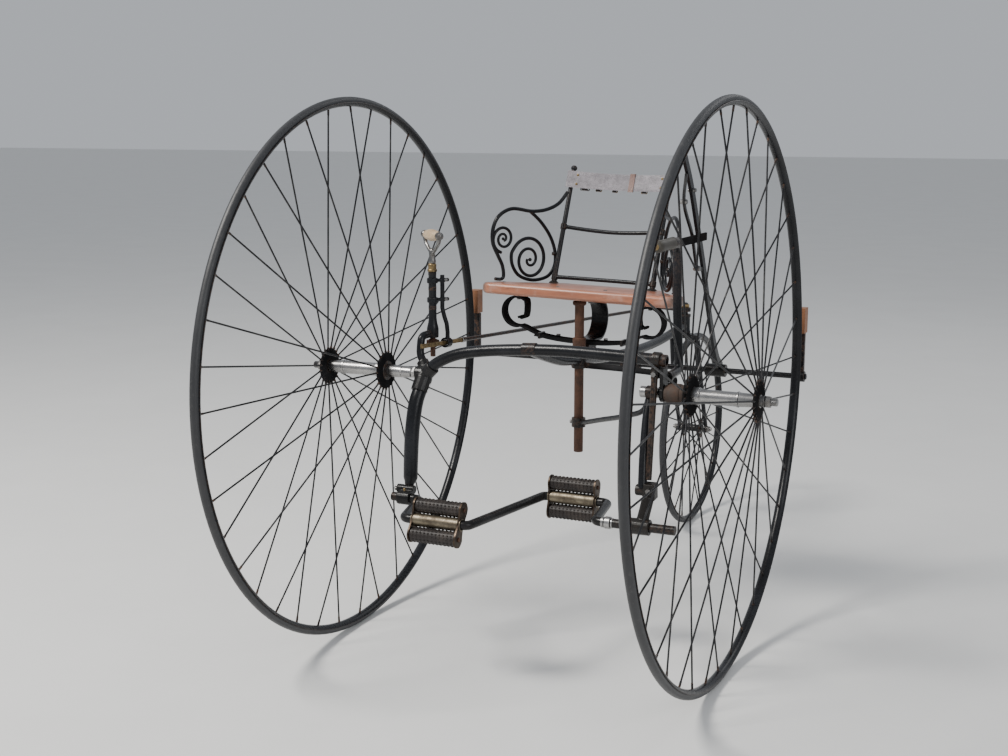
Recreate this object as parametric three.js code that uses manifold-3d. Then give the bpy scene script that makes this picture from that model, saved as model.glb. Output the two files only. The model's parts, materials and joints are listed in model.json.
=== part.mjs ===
// A rear-steering tricycle of about 1880: two tall spoked drivers, a small steered wheel
// behind, a cranked pedal shaft in front, a spade handle with a rack, and a sprung bench seat.
// Millimetres, +Z up. +X is the rider's left and +Y is the rear. The origin is on the ground,
// under the middle of the whole machine.

import * as THREE from "three";
import { mergeVertices } from "three/addons/utils/BufferGeometryUtils.js";
import Module from "manifold-3d";

const wasm = await Module();
wasm.setup();

// Driving dimensions
const WHEEL_RADIUS = 610; // outside of the big tyres
const WHEEL_SEGMENTS = 40;
const REAR_SEGMENTS = 32;
const TRACK_HALF = 438; // middle of the machine to a big wheel's plane
const REAR_RADIUS = 279; // outside of the rear tyre
const REAR_Y = 1177; // rear axle behind the main axle
const TYRE_SECTION = 9.5; // radius of the round rubber
const REAR_TYRE_SECTION = 8.5;
const SPOKE_RADIUS = 1.9;
const SPOKES_PER_FLANGE = 20;
const REAR_SPOKES_PER_FLANGE = 10;
const FLANGE_RADIUS = 41;
const AXLE_RADIUS = 8;
const AXLE_END = 546; // outer end of each main axle, from the middle
const TUBE_RADIUS = 13; // main cross tube
const LEG_RADIUS = 16.5;
const CRANK = { y: -91.5, z: 345, throw: 146.5, radius: 9.8 };
const PEDAL = { length: 112, blocks: 31, sleeve: 14, block: 15.5 };
const COLUMN = { x: -277, y: 78 }; // axis of the steering column
const SPINDLE_RADIUS = 6;
const PINION = { pitch: 14, teeth: 14, low: 660, high: 674 };
const HEAD_Y = 1080; // steering axis of the rear fork
const BRAKE_SHAFT = { y: 640, z: 552, radius: 7 };
const LEVER_X = 240; // plane of the brake lever
const SEAT_POST = { y: 285, radius: 11 };
const SEAT_Z = 755; // underside of the seat board
const SEAT_THICK = 26;
const SEAT_RAKE = 0.08; // how far the board falls for each mm to the rear
const SETTLE_TOP = 950; // irons above this height keep their place
const SEAT_LEVEL_Y = 300; // where the raked board has its nominal height
const BACK_X = 127; // back posts from the middle
const SCROLL_RADIUS = 4.6; // iron of the scrolled arms
const GAP = 0.4; // clearance between neighbours

const material = (color, roughness, metalness) =>
  new THREE.MeshStandardMaterial({ color, roughness, metalness });
const looks = {
  enamel: () => material(0x17181b, 0.42, 0.3),
  rubber: () => material(0x2c2d2f, 0.7, 0),
  nickel: () => material(0x8e8d89, 0.35, 1),
  rust: () => material(0x5c4033, 0.85, 0.3),
  brass: () => material(0x9c8350, 0.45, 0.9),
  paleWood: () => material(0xc9a77c, 0.6, 0),
  seatWood: () => material(0xb0745c, 0.5, 0),
  leather: () => material(0x5a545c, 0.45, 0),
  treadRubber: () => material(0x2c211c, 0.8, 0),
  brakePad: () => material(0xa9653f, 0.75, 0),
  horn: () => material(0x6e6253, 0.6, 0),
};

const v = (x, y, z) => new THREE.Vector3(x, y, z);
const range = (n) => [...Array(n).keys()];

// Solids

function solid(geometry) {
  const bare = geometry.clone();
  bare.deleteAttribute("normal");
  bare.deleteAttribute("uv");
  const merged = mergeVertices(bare, 1e-3);
  const from = merged.index.array;
  const kept = [];
  for (let i = 0; i < from.length; i += 3) {
    const [a, b, c] = [from[i], from[i + 1], from[i + 2]];
    if (a !== b && b !== c && c !== a) kept.push(a, b, c);
  }
  const build = (tris) =>
    new wasm.Manifold(
      new wasm.Mesh({
        numProp: 3,
        vertProperties: merged.attributes.position.array,
        triVerts: new Uint32Array(tris),
      }),
    );
  const made = build(kept);
  if (made.volume() > 0) return made;
  const turned = [];
  for (let i = 0; i < kept.length; i += 3) turned.push(kept[i], kept[i + 2], kept[i + 1]);
  return build(turned);
}

const join = (...solids) => solids.flat().reduce((whole, next) => whole.add(next));
const cut = (from, ...tools) => tools.flat().reduce((left, tool) => left.subtract(tool), from);

function mesh(name, shape, look) {
  const { vertProperties, triVerts } = shape.getMesh();
  const geometry = new THREE.BufferGeometry();
  geometry.setAttribute("position", new THREE.BufferAttribute(vertProperties, 3));
  geometry.setIndex(new THREE.BufferAttribute(triVerts, 1));
  geometry.computeVertexNormals();
  const made = new THREE.Mesh(geometry, look());
  made.name = name;
  return made;
}

// A round bar from a to b, or a cone when the second radius is given.
function rod(a, b, radius, sides = 12, radiusB = radius) {
  const along = b.clone().sub(a);
  const geometry = new THREE.CylinderGeometry(radiusB, radius, along.length(), sides);
  const turn = new THREE.Quaternion().setFromUnitVectors(v(0, 1, 0), along.clone().normalize());
  geometry.applyQuaternion(turn);
  geometry.translate(...a.clone().add(b).multiplyScalar(0.5).toArray());
  return solid(geometry);
}

function block(size, centre, turnX = 0, turnZ = 0) {
  const geometry = new THREE.BoxGeometry(size.x, size.y, size.z);
  geometry.rotateX(turnX);
  geometry.rotateZ(turnZ);
  geometry.translate(centre.x, centre.y, centre.z);
  return solid(geometry);
}

function ball(centre, radius, sides = 12) {
  const geometry = new THREE.SphereGeometry(radius, sides, sides / 2);
  geometry.translate(centre.x, centre.y, centre.z);
  return solid(geometry);
}

// A closed profile of [radius, x] pairs turned about the X axis.
function turned(profile, segments) {
  const points = [...profile, profile[0]].map(([r, x]) => new THREE.Vector2(r, x));
  const geometry = new THREE.LatheGeometry(points, segments);
  geometry.rotateZ(-Math.PI / 2);
  return solid(geometry);
}

// A ring about the line from a to b.
const ring = (a, b, inner, outer, sides = 16) => {
  const over = b.clone().sub(a).normalize().multiplyScalar(2);
  const bore = rod(a.clone().sub(over), b.clone().add(over), inner, sides);
  return cut(rod(a, b, outer, sides), bore);
};

// A path made of the given points, with the direction at each one halfway between its sides.
class PointPath extends THREE.Curve {
  constructor(points) {
    super();
    this.points = points;
  }
  getPoint(t, target = v(0, 0, 0)) {
    const last = this.points.length - 1;
    const place = Math.min(t * last, last);
    const i = Math.min(Math.floor(place + 1e-6), last - 1);
    return target.lerpVectors(this.points[i], this.points[i + 1], place - i);
  }
  getPointAt(u, target) {
    return this.getPoint(u, target);
  }
  getTangentAt(u, target = v(0, 0, 0)) {
    const last = this.points.length - 1;
    const i = Math.round(u * last);
    const before = this.points[Math.max(i - 1, 0)];
    const after = this.points[Math.min(i + 1, last)];
    return target.subVectors(after, before).normalize();
  }
}

const disc = (radius, sides) =>
  new THREE.Shape(
    range(sides).map((i) => {
      const angle = (2 * Math.PI * i) / sides;
      return new THREE.Vector2(radius * Math.cos(angle), radius * Math.sin(angle));
    }),
  );

const tube = (points, radius, sides = 10) =>
  solid(
    new THREE.ExtrudeGeometry(disc(radius, sides), {
      steps: points.length - 1,
      extrudePath: new PointPath(points),
      bevelEnabled: false,
    }),
  );

const smooth = (points, steps) =>
  new THREE.CatmullRomCurve3(points, false, "centripetal").getSpacedPoints(steps);

// A path with each inner corner rounded over the given distance.
function bent(points, round, steps = 5) {
  const path = [points[0]];
  for (let i = 1; i < points.length - 1; i++) {
    const into = points[i - 1].clone().sub(points[i]).setLength(round).add(points[i]);
    const out = points[i + 1].clone().sub(points[i]).setLength(round).add(points[i]);
    path.push(...new THREE.QuadraticBezierCurve3(into, points[i], out).getPoints(steps));
  }
  path.push(points.at(-1));
  return path;
}

// A flat strap: a line of [across, up] points thickened both ways and extruded by its width.
function strap(line, thickness, width) {
  const points = line.map(([a, b]) => new THREE.Vector2(a, b));
  const normals = points.map((_, i) => {
    const before = points[Math.max(i - 1, 0)];
    const after = points[Math.min(i + 1, points.length - 1)];
    const along = after.clone().sub(before).normalize();
    return new THREE.Vector2(-along.y, along.x).multiplyScalar(thickness / 2);
  });
  const upper = points.map((p, i) => p.clone().add(normals[i]));
  const lower = points.map((p, i) => p.clone().sub(normals[i])).reverse();
  const shape = new THREE.Shape([...upper, ...lower]);
  const geometry = new THREE.ExtrudeGeometry(shape, { depth: width, bevelEnabled: false });
  geometry.translate(0, 0, -width / 2);
  return geometry;
}

// Turns an extruded outline so that its plane stands up: across is X or Y, and up is Z.
const standX = (geometry, y) => solid(geometry.rotateX(Math.PI / 2).translate(0, y, 0));
const standY = (geometry, x) =>
  solid(geometry.rotateX(Math.PI / 2).rotateZ(Math.PI / 2).translate(x, 0, 0));

const arc = (centre, radius, from, to, steps) =>
  range(steps + 1).map((i) => {
    const angle = THREE.MathUtils.degToRad(from + ((to - from) * i) / steps);
    return [centre[0] + radius * Math.cos(angle), centre[1] + radius * Math.sin(angle)];
  });

const group = (x, y, z, ...children) => {
  const made = new THREE.Group();
  made.position.set(x, y, z);
  made.add(...children);
  return made;
};

// Wheels, each about its own hub, with the X axis along the axle and +X outwards

function tyreAndRim(name, radius, section, segments) {
  const middle = radius - section;
  const rubber = range(8).map((i) => {
    const angle = (Math.PI * i) / 4;
    return [middle + section * Math.cos(angle), section * Math.sin(angle)];
  });
  // The steel rim is a crescent that holds the inner side of the rubber.
  const bed = arc([middle, 0], section + 1.2, 110, 250, 3);
  const back = arc([middle, 0], section + 3.3, 250, 110, 3);
  return [
    mesh(name + "_tyre", turned(rubber, segments), looks.rubber),
    mesh(name + "_rim", turned([...bed, ...back], segments), looks.enamel),
  ];
}

function spokes(count, turn, hubX, hubRadius, rimRadius) {
  return range(count).map((i) => {
    const angle = (2 * Math.PI * (i + turn)) / count;
    const at = (x, r) => v(x, r * Math.sin(angle), r * Math.cos(angle));
    return rod(at(hubX, hubRadius), at(0, rimRadius), SPOKE_RADIUS, 3);
  });
}

const rimInside = (radius, section, segments) =>
  (radius - 2 * section - 3.3) * Math.cos(Math.PI / segments) - GAP;

function bigHub(name, innerX, innerThick, outerX) {
  const bore = AXLE_RADIUS + GAP;
  const start = innerX - innerThick / 2;
  const collar = innerX + innerThick / 2;
  const profile = [
    [bore, start],
    [FLANGE_RADIUS, start],
    [FLANGE_RADIUS, collar],
    [18.5, collar],
    [18.5, collar + 14],
    [15, collar + 16],
    [15, 26],
    [16.4, 28],
    [15, 31],
    [12.5, outerX - 2.5],
    [FLANGE_RADIUS, outerX - 2.5],
    [FLANGE_RADIUS, outerX + 2.5],
    [12, outerX + 2.5],
    [11, outerX + 11],
    [bore, outerX + 11],
  ];
  const reach = rimInside(WHEEL_RADIUS, TYRE_SECTION, WHEEL_SEGMENTS);
  const inner = spokes(SPOKES_PER_FLANGE, 0, innerX, FLANGE_RADIUS - 7, reach);
  const outer = spokes(SPOKES_PER_FLANGE, 0.5, outerX, FLANGE_RADIUS - 7, reach);
  return mesh(name, join(turned(profile, 20), inner, outer), looks.enamel);
}

function rearHub() {
  const bore = 5 + GAP;
  const profile = [
    [bore, -28],
    [22, -27],
    [22, -23],
    [11, -20],
    [11, 20],
    [22, 23],
    [22, 27],
    [bore, 28],
  ];
  const reach = rimInside(REAR_RADIUS, REAR_TYRE_SECTION, REAR_SEGMENTS);
  const left = spokes(REAR_SPOKES_PER_FLANGE, 0, 25, 17, reach);
  const right = spokes(REAR_SPOKES_PER_FLANGE, 0.5, -25, 17, reach);
  return mesh("rear_hub", join(turned(profile, 16), left, right), looks.enamel);
}

function bigWheel(side, innerX, innerThick, outerX) {
  const sign = side === "left" ? 1 : -1;
  const made = group(
    sign * TRACK_HALF,
    0,
    WHEEL_RADIUS,
    ...tyreAndRim(side, WHEEL_RADIUS, TYRE_SECTION, WHEEL_SEGMENTS),
    bigHub(side + "_hub", innerX, innerThick, outerX),
  );
  if (sign < 0) made.rotation.z = Math.PI;
  return made;
}

function mainAxle(side, innerEnd, boss) {
  const sign = side === "left" ? 1 : -1;
  const at = (x) => v(sign * x, 0, WHEEL_RADIUS);
  const shaft = join(rod(at(innerEnd), at(AXLE_END), AXLE_RADIUS, 16), boss);
  const bore = rod(at(510), at(540), AXLE_RADIUS + GAP, 16);
  const nut = cut(rod(at(518), at(532), 13, 6), bore);
  return [
    mesh(side + "_axle", shaft, looks.nickel),
    mesh(side + "_axle_nut", nut, looks.nickel),
  ];
}

function axleSleeve(name, sign, profile, look) {
  const made = group(0, 0, WHEEL_RADIUS, mesh(name, turned(profile, 20), look));
  if (sign < 0) made.rotation.z = Math.PI;
  return made;
}

// Frame

const crossPath = [
  ...smooth(
    [
      v(-244, 0, 621),
      v(-230, 0, 633),
      v(-205, 0, 647),
      v(-170, 0, 660),
      v(-110, 0, 671),
      v(-24, 0, 679),
      v(70, 0, 683.5),
    ],
    16,
  ),
  v(170, 0, 682.5),
  v(250, 0, 680.5),
  v(311, 0, 678.3),
];

const legPath = smooth(
  [v(-258, -8, 590), v(-263, -30, 552), v(-265, -46, 492), v(-264, -56, 430), v(-263, -61, 384)],
  8,
);

const swanNeck = bent(
  [v(-261, 18, 620), v(-283, 26, 646), v(-283, 34, 688), v(-279, 70, 690)],
  12,
  3,
);

const backbonePath = smooth(
  [
    v(0, 8, 678),
    v(0, 80, 656),
    v(0, 180, 630),
    v(0, SEAT_POST.y, 617),
    v(0, 460, 596),
    v(0, 640, 583),
    v(0, 850, 580),
    v(0, 1066, 594),
  ],
  13,
);

function crossTube() {
  const open = rod(v(281, 0, 679.4), v(316, 0, 678.1), 9.5, 12);
  return mesh("cross_tube", cut(tube(crossPath, TUBE_RADIUS, 12), open), looks.enamel);
}

function rightLug() {
  const centre = v(-258, 0, 605);
  const shape = join(
    ball(centre, 20),
    rod(v(-277, 0, WHEEL_RADIUS), v(-252, 0, WHEEL_RADIUS), 16.5, 16),
    rod(v(-256, 0, 607), v(-236, 0, 627), 17, 14),
    rod(v(-257, -4, 602), v(-261, -20, 572), 20, 14),
    rod(v(-258, 12, 612), v(-274, 21, 633), 14, 12),
  );
  return mesh(
    "right_lug",
    cut(
      shape,
      rod(v(-280, 0, WHEEL_RADIUS), v(-261, 0, WHEEL_RADIUS), AXLE_RADIUS + GAP, 16),
      rod(v(-300, 0, WHEEL_RADIUS), v(-277.2, 0, WHEEL_RADIUS), 15, 16),
      rod(v(-246.6, 0, 618.6), v(-222, 0, 641), TUBE_RADIUS + 1.2, 12),
      rod(v(-257.6, -5.5, 596), v(-261.8, -25, 558), LEG_RADIUS + 2.2, 12),
      rod(v(-259, 16.5, 616), v(-285, 27, 648), 10.6, 10),
    ),
    looks.enamel,
  );
}

function rightLeg() {
  const taper = rod(v(-263, -61, 385), v(-263, -69, 366), LEG_RADIUS - 1, 12, 9);
  return mesh("right_leg", join(tube(legPath, LEG_RADIUS, 12), taper), looks.enamel);
}

const crankBore = (from, to) =>
  rod(v(from, CRANK.y, CRANK.z), v(to, CRANK.y, CRANK.z), CRANK.radius + GAP, 16);

function rightBearing() {
  const shape = join(
    rod(v(-276, CRANK.y, CRANK.z), v(-246, CRANK.y, CRANK.z), 16, 16),
    rod(v(-288, -74, 360), v(-246, -74, 360), 10, 14),
    rod(v(-294, -74, 360), v(-288, -74, 360), 6.5, 6),
  );
  const leg = rod(v(-263, -61, 385), v(-263, -69, 365.6), LEG_RADIUS + 4, 12, 9.6);
  return mesh("right_bearing", cut(shape, crankBore(-280, -240), leg), looks.enamel);
}

function leftFrame() {
  const axle = rod(v(250, 0, WHEEL_RADIUS), v(320, 0, WHEEL_RADIUS), AXLE_RADIUS + GAP, 16);
  const plate = join(
    block(v(8, 30, 62), v(304, 0, 633)),
    rod(v(300, 0, WHEEL_RADIUS), v(308, 0, WHEEL_RADIUS), 19, 16),
    rod(v(300, 22, 640), v(308, 22, 640), 8, 10),
  );
  const strutLine = [v(289.5, -15, 646), v(296, -61, 440)];
  const band = ring(v(281, 0, 679.5), v(298, 0, 678.9), TUBE_RADIUS + 0.8, 17, 16);
  const ears = join(
    block(v(15, 24, 22), v(289.5, -6, 653)),
    rod(v(289.5, -24, 652), v(289.5, -17, 652), 6, 8),
    rod(...strutLine, 7, 4),
  );
  const tubeRoom = rod(v(270, 0, 679.9), v(320, 0, 678), TUBE_RADIUS + 0.8, 16);
  const leg = smooth([v(274, 6, 600), v(274, -14, 560), v(280, -48, 480), v(285, -66, 428)], 8);
  const knuckle = cut(
    join(rod(v(269, 0, WHEEL_RADIUS), v(283, 0, WHEEL_RADIUS), 14, 16), tube(leg, 9.5, 10)),
    rod(v(240, 0, WHEEL_RADIUS), v(268.6, 0, WHEEL_RADIUS), 12.6, 16),
    rod(v(283.4, 0, WHEEL_RADIUS), v(300, 0, WHEEL_RADIUS), 12.6, 16),
  );
  const bracket = join(
    block(v(24, 24, 34), v(303, -66, 416), 0.1),
    rod(v(303, -84, 418), v(303, -76, 418), 6, 6),
    rod(v(272, -66, 416), v(292, -66, 416), 12, 16),
    rod(v(300, -70, 404), v(292, CRANK.y + 6, CRANK.z + 6), 13, 10),
    rod(v(268, CRANK.y, CRANK.z), v(312, CRANK.y, CRANK.z), 17, 16),
  );
  const below = strutLine[1].clone().sub(strutLine[0]).setLength(3).add(strutLine[1]);
  const strutRoom = rod(strutLine[0], below, 7.6, 4);
  const legRoom = tube(leg, 9.5 + GAP, 10);
  return [
    mesh("left_axle_plate", cut(plate, axle, tubeRoom), looks.enamel),
    mesh("left_strut", join(band, cut(ears, tubeRoom)), looks.enamel),
    mesh("left_leg", cut(knuckle, axle, strutRoom), looks.enamel),
    mesh("left_bearing", cut(bracket, crankBore(260, 320), strutRoom, legRoom), looks.enamel),
  ];
}

function backbone() {
  const post = (low, high, radius) =>
    rod(v(0, SEAT_POST.y, low), v(0, SEAT_POST.y, high), radius, 16);
  const saddle = rod(v(-17, 0, 681), v(17, 0, 682.8), 16.4, 14);
  const hanger = join(
    block(v(54, 10, 26), v(0, BRAKE_SHAFT.y, 566)),
    rod(v(-27, BRAKE_SHAFT.y, BRAKE_SHAFT.z), v(27, BRAKE_SHAFT.y, BRAKE_SHAFT.z), 12, 14),
  );
  const shaft = rod(
    v(-40, BRAKE_SHAFT.y, BRAKE_SHAFT.z),
    v(40, BRAKE_SHAFT.y, BRAKE_SHAFT.z),
    BRAKE_SHAFT.radius + GAP,
    16,
  );
  const whole = join(tube(backbonePath, 12, 8), post(597, 638, 17.5), saddle, hanger);
  const spindle = rod(v(0, HEAD_Y, 540), v(0, HEAD_Y, 680), 17 + GAP, 16);
  const cross = rod(v(-24, 0, 679), v(24, 0, 681.2), TUBE_RADIUS + 1, 16);
  return mesh(
    "backbone",
    cut(whole, post(560, 680, SEAT_POST.radius + GAP), shaft, spindle, cross),
    looks.enamel,
  );
}

function stays() {
  const postRoom = (radius) => rod(v(0, SEAT_POST.y, 380), v(0, SEAT_POST.y, 700), radius, 16);
  const side = smooth(
    [v(18.5, 284, 604), v(120, 284, 602), v(225, 262, 600), v(268, 180, 600), v(276, 28, 604)],
    12,
  );
  const lower = smooth(
    [v(10, 276, 467), v(90, 190, 498), v(190, 85, 536), v(252, 30, 566), v(266, 20, 597)],
    12,
  );
  const clamp = rod(v(0, SEAT_POST.y, 456), v(0, SEAT_POST.y, 478), 16.5, 14);
  const foot = rod(v(12, 276, 467), v(30, 258, 474), 9, 8);
  return [
    mesh("side_stay", cut(tube(side, 7, 8), postRoom(18)), looks.enamel),
    mesh(
      "lower_stay",
      cut(join(clamp, foot, tube(lower, 6, 8)), postRoom(SEAT_POST.radius + GAP)),
      looks.enamel,
    ),
  ];
}

// Crank and pedals, about the crank axis

function crank() {
  const t = CRANK.throw;
  const line = [
    [-292, 0],
    [-224, 0],
    [-184, -t],
    [-34, -t],
    [12, t],
    [164, t],
    [190, 0],
    [366, 0],
  ].map(([x, y]) => v(x, y, 0));
  const collar = rod(v(214, 0, 0), v(226, 0, 0), 13, 14);
  const bar = join(tube(bent(line, 13, 4), CRANK.radius, 10), collar);
  const shaft = mesh("crankshaft", bar, looks.enamel);
  return group(
    0,
    CRANK.y,
    CRANK.z,
    shaft,
    pedal("right_pedal", -104, -t, -0.45),
    pedal("left_pedal", 82, t, -0.12),
  );
}

function pedal(name, x, y, tilt) {
  const { length, blocks, sleeve, block: radius } = PEDAL;
  const half = length / 2;
  const plate = (at) =>
    join(
      block(v(4, 2 * sleeve + 4, 2 * blocks), v(at + 2, 0, 0)),
      ...[-1, 1].map((s) => rod(v(at, 0, s * blocks), v(at + 4, 0, s * blocks), radius + 2, 14)),
    );
  const bore = rod(v(-half - 5, 0, 0), v(half + 5, 0, 0), CRANK.radius + 0.6, 14);
  const frame = join(plate(-half), plate(half - 4), rod(v(-half, 0, 0), v(half, 0, 0), sleeve, 14));
  const rubber = (s) =>
    rod(
      v(-half + 4 + GAP, 0, s * blocks),
      v(half - 4 - GAP, 0, s * blocks),
      radius,
      8,
    );
  const made = group(
    x,
    y,
    0,
    mesh(name + "_frame", cut(frame, bore), looks.brass),
    mesh(name + "_upper_rubber", rubber(1), looks.treadRubber),
    mesh(name + "_lower_rubber", rubber(-1), looks.treadRubber),
  );
  made.rotation.x = tilt;
  return made;
}

// Steering: the spade handle turns a pinion, which drives the rack along the long rod

const RACK_HALF = 3.5; // half the rack's thickness, without its teeth
const TOOTH = { rack: 1.9, tip: 0.8, root: 1.2, thick: 2.1 };
const ROD_DIRECTION = v(0.1145, 0.9927, -0.038).normalize();
const rackOffset = PINION.pitch + RACK_HALF + 1.1; // from the column to the middle of the rack
const RACK_START = v(
  COLUMN.x + rackOffset * ROD_DIRECTION.y,
  COLUMN.y - rackOffset * ROD_DIRECTION.x,
  (PINION.low + PINION.high) / 2,
);
const alongRod = (distance, rise = 0) =>
  RACK_START.clone().addScaledVector(ROD_DIRECTION, distance).add(v(0, 0, rise));
const ROD_END = 1026; // from the start to the middle of the end eye

function steeringBracket() {
  const axis = (low, high, radius, sides = 16) =>
    rod(v(COLUMN.x, COLUMN.y, low), v(COLUMN.x, COLUMN.y, high), radius, sides);
  const flare = rod(v(COLUMN.x, COLUMN.y, 699), v(COLUMN.x, COLUMN.y, 718), 13.5, 16, 9);
  const shape = join(tube(swanNeck, 8.8, 10), axis(680, 700, 13.5), flare, axis(717, 830, 9));
  const collar = join(axis(830.4, 836, 11), axis(835, 849, 9.5));
  return [
    mesh("steering_column", cut(shape, axis(670, 840, SPINDLE_RADIUS + GAP)), looks.enamel),
    mesh("column_collar", cut(collar, axis(820, 860, SPINDLE_RADIUS + GAP)), looks.brass),
  ];
}

function guideArm() {
  const toward = v(0.6, 0.8, 0);
  const armFoot = v(COLUMN.x, COLUMN.y, 0).addScaledVector(toward, 25);
  const at = (z, out = 0) => armFoot.clone().addScaledVector(toward, out).setZ(z);
  const bar = smooth([at(822), at(770), at(742), v(-252, 101, 705), v(-252.5, 104, 672)], 8);
  const clip = (z) => {
    const axis = (dz) => v(COLUMN.x, COLUMN.y, z + dz);
    const ear = rod(axis(0).addScaledVector(toward, 10.5), at(z), 4.5, 6);
    const knob = rod(at(z), at(z, 11), 4.8, 6);
    const band = ring(axis(-6), axis(6), 9 + GAP, 12.6, 12);
    return join(band, cut(ear, rod(axis(-9), axis(9), 11, 12)), knob);
  };
  const eye = rod(alongRod(20), alongRod(38), 12, 12);
  const room = rod(alongRod(10), alongRod(60), 8.3, 12);
  return mesh(
    "guide_arm",
    cut(join(tube(bar, 5.4, 8), clip(810), clip(766), eye), room),
    looks.enamel,
  );
}

function handle() {
  const z = (height) => v(0, 0, height);
  const teeth = range(PINION.teeth).map((i) => {
    const angle = (2 * Math.PI * i) / PINION.teeth;
    const out = PINION.pitch + TOOTH.tip;
    const geometry = new THREE.BoxGeometry(out - 10, TOOTH.thick, PINION.high - PINION.low);
    geometry.translate((out + 10) / 2, 0, (PINION.high + PINION.low) / 2);
    return solid(geometry.rotateZ(angle - Math.atan2(ROD_DIRECTION.x, ROD_DIRECTION.y)));
  });
  const spindle = join(
    rod(z(636), z(868), SPINDLE_RADIUS, 12),
    rod(z(PINION.low), z(PINION.high), PINION.pitch - TOOTH.root, 14),
    teeth,
  );
  const grip = { z: 913, half: 30.5 };
  const prong = (s) =>
    tube(
      smooth([v(0, 0, 872), v(s * 20, 0, 882), v(s * 36, 0, 898), v(s * 39, 0, grip.z)], 5),
      4.6,
      6,
    );
  const eye = (s) => rod(v(s * 31.2, 0, grip.z), v(s * 44, 0, grip.z), 9, 10);
  const socket = ring(z(850), z(876), SPINDLE_RADIUS + GAP, 8.6, 12);
  const crotch = join(prong(-1), prong(1), rod(z(869), z(877), 8.6, 12));
  const spindleRoom = rod(z(860), z(868.4), SPINDLE_RADIUS + GAP, 12);
  const fork = join(cut(crotch, spindleRoom), socket, eye(-1), eye(1));
  const wood = turned(
    [
      [0, -grip.half],
      [9, -grip.half],
      [12, -18],
      [13.4, 0],
      [12, 18],
      [9, grip.half],
      [0, grip.half],
    ],
    14,
  );
  const gripMesh = mesh("spade_grip", wood, looks.paleWood);
  gripMesh.position.z = grip.z;
  const spade = group(
    0,
    0,
    0,
    mesh("spade_fork", cut(fork, rod(z(840), z(868.4), SPINDLE_RADIUS + GAP, 12)), looks.nickel),
    gripMesh,
  );
  spade.rotation.z = -Math.atan2(0.6, 0.8);
  return group(COLUMN.x, COLUMN.y, 0, mesh("steering_spindle", spindle, looks.rust), spade);
}

function rackAndRod() {
  const pitch = (2 * Math.PI * PINION.pitch) / PINION.teeth;
  const comb = range(18).flatMap((i) => {
    const middle = (i - 8) * pitch - pitch / 2;
    const [low, high] = [middle - TOOTH.thick / 2, middle + TOOTH.thick / 2];
    const [face, tip] = [-RACK_HALF, -RACK_HALF - TOOTH.rack];
    return [
      [face, low],
      [tip, low],
      [tip, high],
      [face, high],
    ];
  });
  const outline = [[-RACK_HALF, -72], ...comb, [-RACK_HALF, 92], [RACK_HALF, 92], [RACK_HALF, -72]];
  const shape = new THREE.Shape(outline.map(([x, y]) => new THREE.Vector2(x, y)));
  const bar = new THREE.ExtrudeGeometry(shape, { depth: 9, bevelEnabled: false });
  bar.translate(0, 0, -4.5);
  bar.rotateX(Math.asin(ROD_DIRECTION.z));
  bar.rotateZ(-Math.atan2(ROD_DIRECTION.x, ROD_DIRECTION.y));
  bar.translate(...RACK_START.toArray());
  const eyeCentre = alongRod(ROD_END);
  const up = (dz) => eyeCentre.clone().add(v(0, 0, dz));
  const eye = ring(up(-5), up(3.8), 7.6, 12.5, 16); // its top passes under the steering arm
  const shaft = rod(alongRod(92.5), alongRod(ROD_END - 10), 4.6, 10);
  return [
    mesh("steering_rack", solid(bar), looks.brass),
    mesh("steering_rod", join(eye, shaft), looks.enamel),
  ];
}

// Rear fork, which turns about the head

const HEAD = { low: 572, high: 627 };

function rearEnd() {
  const z = (height) => v(0, HEAD_Y, height);
  const head = ring(z(HEAD.low), z(HEAD.high), 9 + GAP, 17, 16);
  const blade = (s) =>
    join(
      tube(
        smooth([v(s * 37, 1084, 562), v(s * 40, 1112, 450), v(s * 40, 1150, 350), v(s * 40, REAR_Y, 290)], 6),
        7,
        8,
      ),
      rod(v(s * 36, REAR_Y, REAR_RADIUS), v(s * 44, REAR_Y, REAR_RADIUS), 12, 14),
    );
  const axleRoom = rod(v(-60, REAR_Y, REAR_RADIUS), v(60, REAR_Y, REAR_RADIUS), 5 + GAP, 12);
  const fork = join(
    block(v(88, 26, 13), v(0, 1082, 563.5)),
    rod(z(560), z(658), 9, 16),
    blade(-1),
    blade(1),
  );
  const eye = alongRod(ROD_END);
  const pin = (low, high) => rod(v(eye.x, eye.y, low), v(eye.x, eye.y, high), 4, 10);
  const arm = join(
    rod(z(634), z(645), 17, 16),
    rod(z(644), z(655), 14, 6),
    rod(v(0, HEAD_Y, 640), v(eye.x, eye.y, 640), 6.5, 8),
    rod(v(eye.x, eye.y, 635), v(eye.x, eye.y, 645), 9, 12),
    pin(eye.z - 9, 640),
  );
  const sides = [-1, 1].map((s) =>
    rod(v(s * 44.4, REAR_Y, REAR_RADIUS), v(s * 53, REAR_Y, REAR_RADIUS), 9, 6),
  );
  const axle = join(
    rod(v(-58, REAR_Y, REAR_RADIUS), v(58, REAR_Y, REAR_RADIUS), 5, 12),
    sides,
  );
  return [
    mesh("head_tube", head, looks.enamel),
    mesh("rear_fork", cut(fork, axleRoom), looks.enamel),
    mesh("rear_steering_arm", cut(arm, rod(z(620), z(660), 9 + GAP, 16)), looks.enamel),
    mesh("rear_axle", axle, looks.nickel),
    group(
      0,
      REAR_Y,
      REAR_RADIUS,
      ...tyreAndRim("rear", REAR_RADIUS, REAR_TYRE_SECTION, REAR_SEGMENTS),
      rearHub(),
    ),
  ];
}

// Left hand: a fixed grip on a post, and the tall brake lever beside it

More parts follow.
